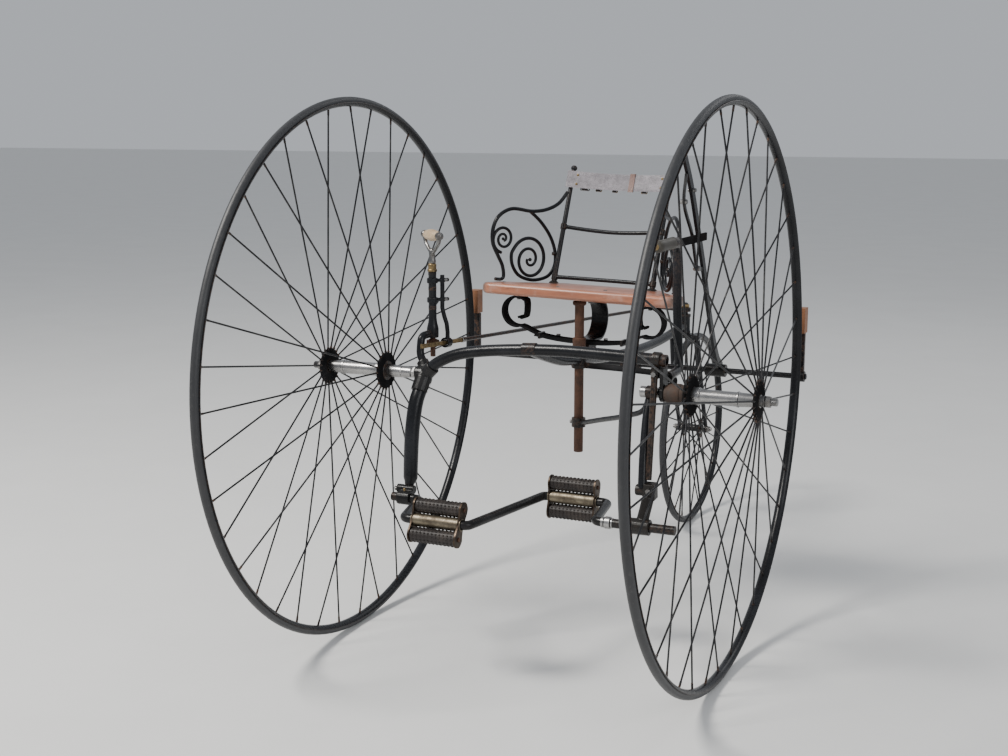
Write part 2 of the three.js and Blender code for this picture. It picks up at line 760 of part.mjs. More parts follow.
function leftHand() {
  const foot = bent([v(304, 30.5, 640), v(298, 122, 640), v(291, 122, 760), v(288, 122, 905)], 16, 4);
  const head = join(
    tube(foot, 9.5, 10),
    rod(v(288, 122, 900), v(298, 92, 915), 10, 10),
    rod(v(297, 95, 915), v(298, 63, 917), 11, 12),
  );
  const wood = turned(
    [
      [0, -56],
      [9, -55],
      [13, -40],
      [12, 30],
      [13, 50],
      [0, 52],
    ],
    14,
  );
  const grip = mesh("left_grip", wood, looks.horn);
  grip.rotation.z = -Math.PI / 2;
  grip.position.set(298, 5.5, 917);
  const bar = bent([v(279, 136, 902), v(254, 175, 902), v(252.5, 480, 902)], 14, 4);
  const quadrant = bar.slice(1).map((end, i) => {
    const start = bar[i];
    const along = end.clone().sub(start);
    return block(
      v(5, along.length() + 2, 18),
      start.clone().add(end).multiplyScalar(0.5),
      0,
      -Math.atan2(along.x, along.y),
    );
  });
  const bolt = rod(v(279, 128, 902), v(279, 140, 902), 5, 8);
  return [
    mesh("left_handle_post", head, looks.enamel),
    grip,
    mesh(
      "brake_quadrant",
      cut(join(quadrant, bolt), tube(foot, 9.5 + GAP, 10), rod(v(288, 122, 890), v(298, 92, 915), 10.6, 10)),
      looks.enamel,
    ),
  ];
}

function brake() {
  const { y, z, radius } = BRAKE_SHAFT;
  const lever = [
    [y - 6, z + 14],
    [598, 590],
    [532, 693],
    [464, 832],
    [428, 898],
    [358, 1021],
    [301, 1097],
  ];
  const latch = [
    [452, 824],
    [418, 830],
    [374, 909],
    [309, 989],
    [322, 1052],
  ];
  const leverShape = join(
    standY(strap(lever, 20, 8), LEVER_X),
    standY(strap(latch, 9, 6), LEVER_X),
    rod(v(LEVER_X - 9, 420, 828), v(LEVER_X + 7, 420, 828), 7, 8),
    rod(v(LEVER_X - 9, 312, 988), v(LEVER_X + 7, 312, 988), 6, 8),
    rod(v(LEVER_X - 8, 362, 1012), v(LEVER_X + 12, 362, 1012), 5, 8),
    rod(v(LEVER_X - 40, y, z), v(LEVER_X + 12, y, z), 16, 16),
  );
  const pivot = rod(v(LEVER_X - 50, y, z), v(LEVER_X + 20, y, z), radius + GAP, 14);
  const padArm = (s) =>
    join(
      rod(v(s * (TRACK_HALF - 12), y, z), v(s * (TRACK_HALF + 12), y, z), 13, 14),
      block(v(22, 12, 102), v(s * TRACK_HALF, y - 2, z + 57)),
    );
  const shaft = join(
    rod(v(-TRACK_HALF - 16, y, z), v(TRACK_HALF + 16, y, z), radius, 14),
    padArm(-1),
    padArm(1),
  );
  const pad = (side, s) => {
    const core = block(v(26, 32, 62), v(s * TRACK_HALF, y - 9, 691.5));
    return mesh(side + "_brake_pad", core, looks.brakePad);
  };
  return [
    mesh("brake_shaft", shaft, looks.enamel),
    mesh("brake_lever", cut(leverShape, pivot), looks.enamel),
    pad("right", -1),
    pad("left", 1),
  ];
}

// Seat, on its sprung post

// How far the raked board lies below its nominal height at y
const rakeDrop = (y) => (y - SEAT_LEVEL_Y) * SEAT_RAKE;

// Lowers an iron that stands on the board by the rake at its foot, and less the higher it is
function settled(p) {
  const foot = SEAT_Z + SEAT_THICK;
  const fade = Math.max(0, 1 - (p.z - foot) / (SETTLE_TOP - foot));
  return v(p.x, p.y, p.z - rakeDrop(p.y) * fade);
}

function seatBoard() {
  const outline = new THREE.Shape();
  const half = 238;
  const front = 246;
  outline.moveTo(-half + 24, front);
  outline.lineTo(half - 24, front);
  outline.quadraticCurveTo(half, front, half, front + 24);
  outline.lineTo(half, 335);
  outline.quadraticCurveTo(half - 6, 352, half - 40, 376);
  outline.lineTo(150, 452);
  outline.quadraticCurveTo(142, 502, 118, 504);
  outline.lineTo(-118, 504);
  outline.quadraticCurveTo(-142, 502, -150, 452);
  outline.lineTo(-half + 40, 376);
  outline.quadraticCurveTo(-half + 6, 352, -half, 335);
  outline.lineTo(-half, front + 24);
  outline.quadraticCurveTo(-half, front, -half + 24, front);
  const bevel = 6;
  const geometry = new THREE.ExtrudeGeometry(outline, {
    depth: SEAT_THICK - 2 * bevel,
    bevelThickness: bevel,
    bevelSize: bevel,
    bevelOffset: -bevel,
    bevelSegments: 2,
    curveSegments: 4,
  });
  geometry.translate(0, -SEAT_LEVEL_Y, bevel);
  geometry.rotateX(-Math.atan(SEAT_RAKE));
  geometry.translate(0, SEAT_LEVEL_Y, SEAT_Z);
  return mesh("seat_board", solid(geometry), looks.seatWood);
}

function springs() {
  const scroll = (s) =>
    arc([s * 166, 713.6], 35.5, s > 0 ? 250 : 290, s > 0 ? 490 : 50, 14).concat([
      [s * 143, 713.6 - 9],
      [s * 156, 713.6 - 14],
    ]);
  const right = scroll(1);
  const left = scroll(-1).reverse();
  const lower = [
    [-110, 664],
    [-50, 657],
    [50, 657],
    [110, 664],
  ];
  const leaf = strap([...left, ...lower, ...right], 5.6, 28);
  const second = strap([[-118, 660.4], ...lower.map(([x, z]) => [x, z - 4.4]), [118, 660.4]], 3.6, 28);
  const strapY = 317;
  const post = rod(v(0, SEAT_POST.y, 396), v(0, SEAT_POST.y, SEAT_Z - 1.2), SEAT_POST.radius, 14);
  const clamp = join(
    rod(v(0, SEAT_POST.y, 640), v(0, SEAT_POST.y, 668), 15.5, 14),
    block(v(44, 76, 10.4), v(0, 316, 645.3)),
  );
  const table = rod(v(0, SEAT_POST.y, 744), v(0, SEAT_POST.y, SEAT_Z - 1.2), 16, 14);
  const cee = strap(
    [[345, SEAT_Z - 7], ...arc([385, 699], 46, 88, -84, 12), [366, 654.6], [338, 654.2]],
    5.6,
    42,
  );
  return [
    mesh("leaf_spring", join(standX(leaf, strapY), standX(second, strapY)), looks.enamel),
    mesh("seat_post", join(post, clamp, table), looks.rust),
    mesh("c_spring", standY(cee, 0), looks.enamel),
  ];
}

// A scrolled arm in its own upright plane: X runs forward from the back post, Z is the height.
function scrollArm(side) {
  const s = side === "left" ? 1 : -1;
  const turn = Math.atan2(185, 105);
  const footY = 490;
  const at = ([x, z]) => v(x, 0, settled(v(0, footY - x * Math.sin(turn), z)).z);
  const outer = smooth(
    [
      [-9, 990],
      [18, 963],
      [55, 949],
      [97, 946],
      [162, 953],
      [198, 936],
      [213, 908],
      [213, 874],
      [198, 845],
      [183, 818],
      [180, 792],
      [186, 787.4],
      [204, 787.4],
    ].map(at),
    22,
  );
  const spiral = (centre, from, to, start, turns, steps) =>
    range(steps + 1).map((i) => {
      const part = i / steps;
      const radius = from + (to - from) * part;
      const angle = THREE.MathUtils.degToRad(start) + 2 * Math.PI * turns * part;
      return [centre[0] + radius * Math.cos(angle), centre[1] + radius * Math.sin(angle)];
    });
  const loop = smooth(
    [
      [104, 946],
      [72, 922],
      [40, 886],
      [25, 852],
      [25, 822],
      [41, 799],
      [70, 788.5],
      [104, 787.5],
      [137, 799],
      [155, 824],
      [157, 848],
    ].map(at),
    16,
  );
  const inner = spiral([103, 834], 54, 6, 28, 1.95, 19).map(at);
  const small = spiral([182, 883], 33, 5, -80, 1.9, 16).map(at);
  const shape = join(
    tube(outer, SCROLL_RADIUS, 5),
    tube([...loop, ...inner.slice(1)], SCROLL_RADIUS * 0.9, 5),
    tube(small, SCROLL_RADIUS * 0.8, 5),
  );
  const made = mesh(side + "_arm", shape, looks.enamel);
  const plane = group(s * BACK_X, footY, 0, made);
  plane.rotation.z = s > 0 ? -turn : Math.PI + turn;
  return plane;
}

function seatBack() {
  const foot = settled(v(BACK_X, 437, SEAT_Z + SEAT_THICK + 1.6));
  const top = v(BACK_X, 547, 1049);
  const mirror = (p, s) => v(s * p.x, p.y, p.z);
  const up = (z) => foot.y + ((top.y - foot.y) * (z - foot.z)) / (top.z - foot.z);
  const side = (s) =>
    join(
      rod(mirror(foot, s).add(v(0, 1, 3)), mirror(top, s), 6, 8),
      ball(mirror(top, s).add(v(0, 2, 4)), 8, 8),
      rod(mirror(foot, s), mirror(foot, s).add(v(0, 0, 6)), 12, 10),
    );
  const rail = (z, sag) =>
    tube(
      smooth([v(-BACK_X, up(z), z), v(0, up(z) + 4, z - sag), v(BACK_X, up(z), z)], 6),
      5,
      6,
    );
  const frame = join(side(-1), side(1), rail(906, 8), rail(786, 0));
  const strapZ = 1020;
  const front = up(strapZ) - 6.5;
  const line = smooth(
    [
      v(-137, front - 4, 0),
      v(-70, front - 1, 0),
      v(0, front + 3, 0),
      v(70, front - 1, 0),
      v(137, front - 4, 0),
    ],
    12,
  ).map((p) => [p.x, p.y]);
  const leather = strap(line, 4, 40).translate(0, 0, strapZ);
  const postRoom = (x) => tube([v(x, up(960), 960), v(x, up(1060), 1060)], 6.6, 10);
  return [
    mesh("seat_back", frame, looks.enamel),
    mesh("back_strap", cut(solid(leather), postRoom(-BACK_X), postRoom(BACK_X)), looks.leather),
  ];
}

// The whole machine, shifted so that its own middle is over the origin

const rightBoss = rod(v(-277.6, 0, WHEEL_RADIUS), v(-288, 0, WHEEL_RADIUS), 13.5, 6);
const leftBoss = join(
  rod(v(255, 0, WHEEL_RADIUS), v(268, 0, WHEEL_RADIUS), 12, 16),
  rod(v(284, 0, WHEEL_RADIUS), v(299.6, 0, WHEEL_RADIUS), 11, 16),
);

const machine = group(
  0,
  (WHEEL_RADIUS - REAR_Y - REAR_RADIUS) / 2,
  0,
  bigWheel("left", -74, 12, 69),
  bigWheel("right", -82, 8, 68),
  ...mainAxle("left", 255, leftBoss),
  ...mainAxle("right", 262, rightBoss),
  axleSleeve(
    "left_drum",
    1,
    [
      [AXLE_RADIUS + GAP, 309],
      [17, 309],
      [21, 318],
      [22.5, 330],
      [22.5, 342],
      [20, 357],
      [AXLE_RADIUS + GAP, 357],
    ],
    looks.rust,
  ),
  axleSleeve(
    "right_sleeve",
    -1,
    [
      [AXLE_RADIUS + GAP, 289],
      [12, 289],
      [13, 310],
      [12, 312],
      [13, 314],
      [15, 351],
      [AXLE_RADIUS + GAP, 351],
    ],
    looks.nickel,
  ),
  crossTube(),
  rightLug(),
  rightLeg(),
  rightBearing(),
  ...leftFrame(),
  backbone(),
  ...stays(),
  crank(),
  ...steeringBracket(),
  guideArm(),
  handle(),
  ...rackAndRod(),
  ...rearEnd(),
  ...leftHand(),
  ...brake(),
  seatBoard(),
  ...springs(),
  scrollArm("right"),
  scrollArm("left"),
  ...seatBack(),
);

const tricycle = new THREE.Group();
tricycle.add(machine);

export default tricycle;
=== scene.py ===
"""The looks of an old rear-steering tricycle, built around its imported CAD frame.

Lengths in the shape code are millimetres in the machine's own frame: X to the rider's left,
Y to the rear from the main axle, Z up from the ground. at() turns them into the shared frame.
"""

import json
import math

import bmesh
import bpy
from mathutils import Matrix, Vector


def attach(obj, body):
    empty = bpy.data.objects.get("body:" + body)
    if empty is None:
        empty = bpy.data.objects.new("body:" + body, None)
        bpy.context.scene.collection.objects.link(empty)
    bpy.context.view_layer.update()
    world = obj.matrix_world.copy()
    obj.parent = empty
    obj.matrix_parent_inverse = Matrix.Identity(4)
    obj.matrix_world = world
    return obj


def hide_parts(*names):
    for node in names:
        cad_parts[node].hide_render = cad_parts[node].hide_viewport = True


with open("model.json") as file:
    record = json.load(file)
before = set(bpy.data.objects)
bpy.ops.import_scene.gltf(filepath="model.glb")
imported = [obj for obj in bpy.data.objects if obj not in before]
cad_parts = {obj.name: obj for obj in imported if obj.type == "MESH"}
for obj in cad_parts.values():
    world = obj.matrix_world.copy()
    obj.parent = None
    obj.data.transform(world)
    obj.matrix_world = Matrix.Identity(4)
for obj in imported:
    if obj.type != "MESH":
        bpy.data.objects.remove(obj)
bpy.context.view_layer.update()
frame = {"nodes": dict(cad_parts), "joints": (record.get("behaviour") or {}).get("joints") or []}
joints = {j["name"]: j for j in frame["joints"]}
MM = 0.001
X, Y, Z = Vector((1, 0, 0)), Vector((0, 1, 0)), Vector((0, 0, 1))
AXLE_Y = joints["left_wheel_spin"]["pos_m"][1]


def at(x, y, z):
    return Vector((x, y, z)) * MM + Vector((0, AXLE_Y, 0))


def local(point):
    """A point of the shared frame, in millimetres in the machine's frame."""
    return (Vector(point) - Vector((0, AXLE_Y, 0))) / MM


def pivot(name):
    return local(joints[name]["pos_m"])


# Sizes

WHEEL = {"radius": 610, "section": 9.5, "flange": 41, "spokes": 20, "segments": 144}
REAR = {"radius": 279, "section": 8.5, "flange": 22, "spokes": 10, "segments": 96}
SPOKE_RADIUS = 2.0
LEFT_HUB = {"inner": -74, "inner_thick": 12, "outer": 69}
RIGHT_HUB = {"inner": -82, "inner_thick": 8, "outer": 68}
AXLE_RADIUS = 8
TUBE_RADIUS = 13
LEG_RADIUS = 16.5
CRANK_RADIUS = 9.8
CRANK_THROW = 146.5
SEAT_LOW, SEAT_HIGH = 755, 781
SEAT_RAKE, SEAT_LEVEL_Y, SETTLE_TOP = 0.08, 300, 950
SEAT_LEAN = math.radians(1.5)  # how far the seat has sagged to the rider's left
LEAN_HEIGHT = 900  # the height that keeps its place across the machine
SEAT_POST_Y = 285
BACK_X = 127
BIG_SCROLL, SMALL_SCROLL = (103, 834), (182, 883)  # the centres of an arm's spirals
PINION_RADIUS, RACK_HALF, RACK_PLAY = 14, 3.5, 1.1
RACK_Z = 667
ROD_LENGTH = 1026
PAD_Z = 691.5
FLOOR_HALF = 40  # metres

axle = pivot("left_wheel_spin")
WHEEL_X = axle.x
CRANK = pivot("crank_spin")
COLUMN = pivot("handle_turn")
HEAD = pivot("rear_fork_steer")
REAR_HUB = pivot("rear_wheel_spin")
BRAKE = pivot("brake_apply")
ROD_AXIS = Vector(joints["rod_slide"]["axis"]).normalized()


# Materials


class Nodes:
    """A short way to write a shader's node graph."""

    def __init__(self, name):
        self.material = bpy.data.materials.new(name)
        self.material.use_nodes = True
        self.tree = self.material.node_tree
        self.shader = self.tree.nodes["Principled BSDF"]
        self.place = self.tree.nodes.new("ShaderNodeTexCoord").outputs["Object"]

    def link(self, source, target):
        self.tree.links.new(source, target)

    def noise(self, scale, detail=6, rough=0.6, stretch=(1, 1, 1), distortion=0.0):
        mapping = self.tree.nodes.new("ShaderNodeMapping")
        mapping.inputs["Scale"].default_value = stretch
        self.link(self.place, mapping.inputs["Vector"])
        node = self.tree.nodes.new("ShaderNodeTexNoise")
        node.inputs["Scale"].default_value = scale
        node.inputs["Detail"].default_value = detail
        node.inputs["Roughness"].default_value = rough
        node.inputs["Distortion"].default_value = distortion
        self.link(mapping.outputs["Vector"], node.inputs["Vector"])
        return node.outputs["Fac"]

    def cells(self, scale):
        """0 along the borders of irregular cells, and more inside them."""
        node = self.tree.nodes.new("ShaderNodeTexVoronoi")
        node.feature = "DISTANCE_TO_EDGE"
        node.inputs["Scale"].default_value = scale
        self.link(self.place, node.inputs["Vector"])
        return node.outputs["Distance"]

    def edges(self, low, high):
        """1 where the surface turns sharply outwards, and 0 on flat places."""
        pointy = self.tree.nodes.new("ShaderNodeNewGeometry").outputs["Pointiness"]
        return self.between(pointy, low, high)

    def between(self, value, low, high, out_low=0.0, out_high=1.0):
        node = self.tree.nodes.new("ShaderNodeMapRange")
        limits = {"From Min": low, "From Max": high, "To Min": out_low, "To Max": out_high}
        for key, number in limits.items():
            node.inputs[key].default_value = number
        self.link(value, node.inputs["Value"])
        return node.outputs["Result"]

    def math(self, operation, a, b):
        node = self.tree.nodes.new("ShaderNodeMath")
        node.operation = operation
        node.use_clamp = True
        for socket, value in zip(node.inputs, (a, b)):
            if isinstance(value, (int, float)):
                socket.default_value = value
            else:
                self.link(value, socket)
        return node.outputs["Value"]

    def mix(self, amount, a, b):
        node = self.tree.nodes.new("ShaderNodeMix")
        node.data_type = "RGBA"
        for socket, value in ((node.inputs[0], amount), (node.inputs[6], a), (node.inputs[7], b)):
            if isinstance(value, tuple):
                socket.default_value = (*value, 1)
            else:
                self.link(value, socket)
        return node.outputs[2]

    def colour(self, value):
        self.link(value, self.shader.inputs["Base Color"])

    def roughness(self, value, low, high, at_low=0.0, at_high=1.0):
        self.link(self.between(value, at_low, at_high, low, high), self.shader.inputs["Roughness"])

    def bump(self, value, depth, strength=1.0):
        node = self.tree.nodes.new("ShaderNodeBump")
        node.inputs["Distance"].default_value = depth
        node.inputs["Strength"].default_value = strength
        self.link(value, node.inputs["Height"])
        previous = self.shader.inputs["Normal"].links
        if previous:
            self.link(previous[0].from_socket, node.inputs["Normal"])
        self.link(node.outputs["Normal"], self.shader.inputs["Normal"])


def enamel(name, worn=0.5, tint=(0.0065, 0.007, 0.0085), rusty=0.0, shine=0.24):
    """Brush-painted black enamel, dusty and chipped to brown iron along its edges."""
    m = Nodes(name)
    broad = m.noise(9, 4)
    fine = m.noise(160, 8, 0.7)
    dusty = m.mix(m.between(broad, 0.45, 0.75), tint, tuple(2.2 * c + 0.004 for c in tint))
    chips = m.math("MULTIPLY", m.edges(0.53, 0.62), m.between(fine, 0.45, 0.62))
    spots = m.between(m.noise(420, 5, 0.75), 0.72 - 0.05 * worn, 0.78)
    scars = m.math("MAXIMUM", chips, m.math("MULTIPLY", spots, m.between(broad, 0.5, 0.65)))
    if rusty:
        patches = m.between(m.noise(34, 8, 0.75), 0.66 - 0.2 * rusty, 0.72)
        scars = m.math("MAXIMUM", scars, patches)
    m.colour(m.mix(scars, dusty, m.mix(fine, (0.05, 0.03, 0.02), (0.11, 0.058, 0.035))))
    gloss = m.math("ADD", m.math("MULTIPLY", fine, 0.5), m.math("MULTIPLY", scars, 0.6))
    m.roughness(gloss, 0.2, 0.6, 0.1, 0.8)
    m.shader.inputs["Specular IOR Level"].default_value = shine
    m.bump(m.noise(55, 3), 0.0005, 0.5)
    m.bump(m.math("SUBTRACT", fine, scars), 0.00025, 0.7)
    return m.material


def wire(name):
    """Drawn steel wire, darkened by old oil, still bright where it has been rubbed."""
    m = Nodes(name)
    m.shader.inputs["Metallic"].default_value = 0.8
    cloudy = m.noise(30, 7, 0.7)
    m.colour(m.mix(m.between(cloudy, 0.5, 0.7), (0.022, 0.022, 0.024), (0.075, 0.072, 0.07)))
    m.roughness(m.noise(200, 5), 0.28, 0.55)
    m.bump(m.noise(500, 5, 0.7), 0.0001, 0.5)
    return m.material


def rubber(name):
    """Old grey-black solid rubber, scuffed pale where it meets the road."""
    m = Nodes(name)
    broad = m.noise(14, 5)
    grain = m.noise(700, 6, 0.8)
    base = m.mix(broad, (0.010, 0.0105, 0.0125), (0.034, 0.035, 0.038))
    scuffs = m.between(m.noise(90, 8, 0.75), 0.56, 0.72)
    m.colour(m.mix(m.math("MULTIPLY", scuffs, 0.5), base, (0.085, 0.083, 0.08)))
    m.roughness(grain, 0.34, 0.62)
    m.bump(grain, 0.0003, 0.6)
    m.bump(m.noise(60, 5), 0.0009, 0.5)
    return m.material


def plated(name, tone=(0.43, 0.425, 0.42), stain=(0.10, 0.075, 0.055), stained=0.5):
    """Nickel plate that has gone dull, with brown stains and pin-prick rust."""
    m = Nodes(name)
    m.shader.inputs["Metallic"].default_value = 0.96
    cloudy = m.noise(38, 8, 0.72)
    pricks = m.between(m.noise(650, 4, 0.7), 0.66, 0.72)
    stains = m.between(cloudy, 0.72 - 0.24 * stained, 0.84)
    marks = m.math("MAXIMUM", stains, pricks)
    clouds = m.between(m.noise(16, 5), 0.35, 0.65)
    m.colour(m.mix(marks, m.mix(clouds, tone, tuple(0.55 * c for c in tone)), stain))
    m.roughness(m.math("ADD", marks, m.math("MULTIPLY", cloudy, 0.4)), 0.18, 0.7)
    m.bump(m.noise(300, 6, 0.7), 0.00022, 0.6)
    return m.material


def rust(name, dark=(0.035, 0.017, 0.011), light=(0.115, 0.048, 0.026), scale=(0.17, 0.085, 0.05)):
    """Iron under an even coat of brown rust with a few lighter scales."""
    m = Nodes(name)
    m.shader.inputs["Metallic"].default_value = 0.2
    broad = m.noise(45, 8, 0.75)
    fine = m.noise(520, 6, 0.8)
    base = m.mix(m.between(broad, 0.3, 0.7), dark, light)
    m.colour(m.mix(m.between(fine, 0.56, 0.8), base, scale))
    m.roughness(fine, 0.55, 0.9)
    m.bump(broad, 0.0009, 0.6)
    m.bump(fine, 0.0005, 0.8)
    return m.material


def brass(name, tone=(0.30, 0.215, 0.105), tarnish=(0.07, 0.048, 0.028)):
    m = Nodes(name)
    m.shader.inputs["Metallic"].default_value = 0.92
    cloudy = m.noise(42, 8, 0.7)
    m.colour(m.mix(m.between(cloudy, 0.42, 0.68), tone, tarnish))
    m.roughness(cloudy, 0.25, 0.62)
    m.bump(m.noise(380, 5, 0.7), 0.0002, 0.6)
    return m.material


def wood(name, pale, dark, grain, worn, gloss=(0.3, 0.62), sawn_end=None):
    """Varnished wood with its grain along one direction, greyed where the varnish has gone."""
    m = Nodes(name)
    rings = m.noise(26, 5, 0.6, grain, 1.2)
    lines = m.noise(130, 7, 0.7, grain)
    base = m.mix(m.between(rings, 0.35, 0.65), pale, dark)
    base = m.mix(m.math("MULTIPLY", m.between(lines, 0.52, 0.66), 0.6), base, tuple(0.45 * c for c in dark))
    bare = m.between(m.noise(16, 8, 0.7), 0.5, 0.64)
    bare = m.math("MAXIMUM", m.math("MULTIPLY", bare, 0.85), m.edges(0.515, 0.57))
    look = m.mix(m.math("MULTIPLY", bare, 0.75), base, worn)
    if sawn_end:
        split = m.tree.nodes.new("ShaderNodeSeparateXYZ")
        m.link(m.place, split.inputs["Vector"])
        across = m.tree.nodes.new("ShaderNodeMath")
        across.operation = "ABSOLUTE"
        m.link(split.outputs["X"], across.inputs[0])
        ragged = m.math("ADD", across.outputs["Value"], m.math("MULTIPLY", rings, 0.012))
        look = m.mix(m.between(ragged, sawn_end, sawn_end + 0.012, 0.0, 0.85), look, (0.13, 0.095, 0.075))
    m.colour(look)
    m.roughness(m.math("ADD", m.math("MULTIPLY", lines, 0.4), m.math("MULTIPLY", bare, 0.6)), *gloss)
    m.shader.inputs["Coat Weight"].default_value = 0.2
    m.shader.inputs["Coat Roughness"].default_value = 0.35
    m.bump(lines, 0.0006, 0.6)
    m.bump(m.noise(300, 4), 0.0001, 0.5)
    return m.material


def leather(name, tone, pale):
    m = Nodes(name)
    creases = m.between(m.cells(430), 0.0, 0.12)
    broad = m.noise(34, 7, 0.7)
    base = m.mix(m.between(broad, 0.36, 0.66), tone, pale)
    m.colour(m.mix(m.math("SUBTRACT", 1.0, creases), base, tuple(0.55 * c for c in tone)))
    m.roughness(broad, 0.28, 0.55)
    m.bump(creases, 0.0003, 0.7)
    m.bump(m.noise(70, 5), 0.0007, 0.6)
    return m.material


def tread(name, tone=(0.014, 0.0095, 0.008), dust=(0.048, 0.036, 0.029)):
    """Hard moulded rubber with dried mud in its pattern."""
    m = Nodes(name)
    broad = m.noise(24, 7, 0.6)
    m.colour(m.mix(m.between(broad, 0.5, 0.75), tone, dust))
    m.roughness(m.noise(420, 5, 0.7), 0.34, 0.72)
    m.bump(m.noise(500, 6, 0.75), 0.0003, 0.6)
    return m.material


def plain_floor(name):
    m = Nodes(name)
    m.colour(m.mix(m.noise(3, 3), (0.70, 0.70, 0.69), (0.76, 0.76, 0.75)))
    m.roughness(m.noise(40), 0.75, 0.9)
    m.bump(m.noise(60, 4), 0.0006, 0.25)
    return m.material


BLACK = enamel("black_enamel")
BLACK_WORN = enamel("black_enamel_worn", 1.0, (0.009, 0.0088, 0.009))
BLACK_RUSTY = enamel("black_enamel_rusty", 1.2, (0.012, 0.0105, 0.0095), 0.5)
BLACK_DULL = enamel("black_enamel_dull", 0.5, (0.011, 0.011, 0.0115), 0.0, 0.0)
SPOKE = wire("dark_spoke_wire")
TYRE = rubber("tyre_rubber")
NICKEL = plated("nickel_plate")
NICKEL_DULL = plated("nickel_plate_dull", (0.27, 0.265, 0.26), (0.075, 0.055, 0.042), 0.9)
RUST = rust("rusted_iron")
RUST_PALE = rust("rusted_pale_iron", (0.036, 0.031, 0.028), (0.075, 0.037, 0.02), (0.085, 0.066, 0.052))
BRASS = brass("old_brass")
BRONZE = brass("pedal_bronze", (0.21, 0.18, 0.13), (0.06, 0.046, 0.034))
BRONZE_DARK = brass("pedal_plate_bronze", (0.085, 0.062, 0.045), (0.022, 0.015, 0.012))
CREAM = wood("pale_turned_wood", (0.62, 0.47, 0.30), (0.48, 0.33, 0.19), (0.2, 1, 1), (0.58, 0.46, 0.31))
SEAT_WOOD = wood("red_brown_wood", (0.45, 0.16, 0.08), (0.235, 0.078, 0.041), (0.12, 1, 1),
                 (0.46, 0.29, 0.235), (0.26, 0.55), sawn_end=0.226)
DARK_WOOD = wood("dark_grip_wood", (0.04, 0.034, 0.023), (0.022, 0.018, 0.013), (1, 0.2, 1),
                 (0.06, 0.052, 0.037), (0.5, 0.8))
LEATHER = leather("grey_leather", (0.15, 0.138, 0.155), (0.33, 0.305, 0.335))
LEATHER_BAND = leather("brown_leather", (0.15, 0.075, 0.058), (0.29, 0.17, 0.14))
STRAP_DARK = leather("dark_leather", (0.018, 0.014, 0.013), (0.05, 0.038, 0.033))
TREAD = tread("pedal_rubber")
PAD = tread("brake_leather", (0.235, 0.1, 0.046), (0.13, 0.06, 0.03))


# Shapes. Each is a list of points in millimetres and a list of faces.


def frames_along(points):
    """A sideways direction for each point that turns as little as it can."""
    count = len(points)
    tangents = []
    for i in range(count):
        before, after = points[max(i - 1, 0)], points[min(i + 1, count - 1)]
        tangents.append((after - before).normalized())
    side = tangents[0].orthogonal().normalized()
    sides = [side]
    for a, b in zip(tangents, tangents[1:]):
        side = a.rotation_difference(b) @ side
        side = (side - side.dot(b) * b).normalized()
        sides.append(side)
    return tangents, sides


def tube(points, radius, sides=20, flat=1.0):
    """A round bar along points. radius is one number, or one for each point."""
    points = [Vector(p) for p in points]
    radii = radius if isinstance(radius, (list, tuple)) else [radius] * len(points)
    tangents, across = frames_along(points)
    vertices, faces = [], []
    for p, t, s, r in zip(points, tangents, across, radii):
        up = t.cross(s)
        for k in range(sides):
            angle = 2 * math.pi * k / sides
            vertices.append(p + r * math.cos(angle) * s + flat * r * math.sin(angle) * up)
    for i in range(len(points) - 1):
        for k in range(sides):
            a, b = i * sides + k, i * sides + (k + 1) % sides
            faces.append((a, b, b + sides, a + sides))
    faces.append(tuple(reversed(range(sides))))
    faces.append(tuple(range((len(points) - 1) * sides, len(points) * sides)))
    return vertices, faces


def rod(a, b, radius, sides=20, chamfer=0.8):
    """A straight bar with a small chamfer at each end."""
    a, b = Vector(a), Vector(b)
    length = (b - a).length
    c = min(chamfer, radius / 3, length / 4)
    profile = [(0, 0), (radius - c, 0), (radius, c), (radius, length - c), (radius - c, length), (0, length)]
    return turned(profile, a, (b - a).normalized(), sides)


def turned(profile, centre, axis, segments=48, closed=False):
    """A profile of (radius, distance) pairs turned about axis."""
    axis, centre = Vector(axis).normalized(), Vector(centre)
    side = axis.orthogonal().normalized()
    up = axis.cross(side)
    vertices, rings, faces = [], [], []
    for r, distance in profile:
        middle = centre + distance * axis
        if r < 1e-6:
            rings.append([len(vertices)] * segments)
            vertices.append(middle)
            continue
        rings.append(list(range(len(vertices), len(vertices) + segments)))
        for k in range(segments):
            angle = 2 * math.pi * k / segments
            vertices.append(middle + r * (math.cos(angle) * side + math.sin(angle) * up))
    pairs = list(zip(rings, rings[1:]))
    if closed:
        pairs.append((rings[-1], rings[0]))
    for low, high in pairs:
        for k in range(segments):
            n = (k + 1) % segments
            face = (low[k], low[n], high[n], high[k])
            face = tuple(dict.fromkeys(face))
            if len(face) > 2:
                faces.append(face)
    return vertices, faces


def ring(a, b, inner, outer, sides=40, chamfer=0.7):
    a, b = Vector(a), Vector(b)
    length, c = (b - a).length, chamfer
    profile = [(inner, 0), (outer - c, 0), (outer, c), (outer, length - c), (outer - c, length),
               (inner, length)]
    return turned(profile, a, b - a, sides, closed=True)


def ball(centre, radius, sides=20, squashed=1.0):
    half = sides // 2
    profile = [
        (radius * math.sin(math.pi * i / half), -squashed * radius * math.cos(math.pi * i / half))
        for i in range(half + 1)
    ]
    return turned(profile, centre, Z, sides)


def hexagon(a, b, radius):
    """A hexagonal nut or bolt head with chamfered corners, standing on a."""
    length = (Vector(b) - Vector(a)).length
    profile = [(0, 0), (0.92 * radius, 0), (radius, 0.14 * length), (radius, 0.86 * length),
               (0.92 * radius, length), (0, length)]
    return turned(profile, a, Vector(b) - Vector(a), 6)


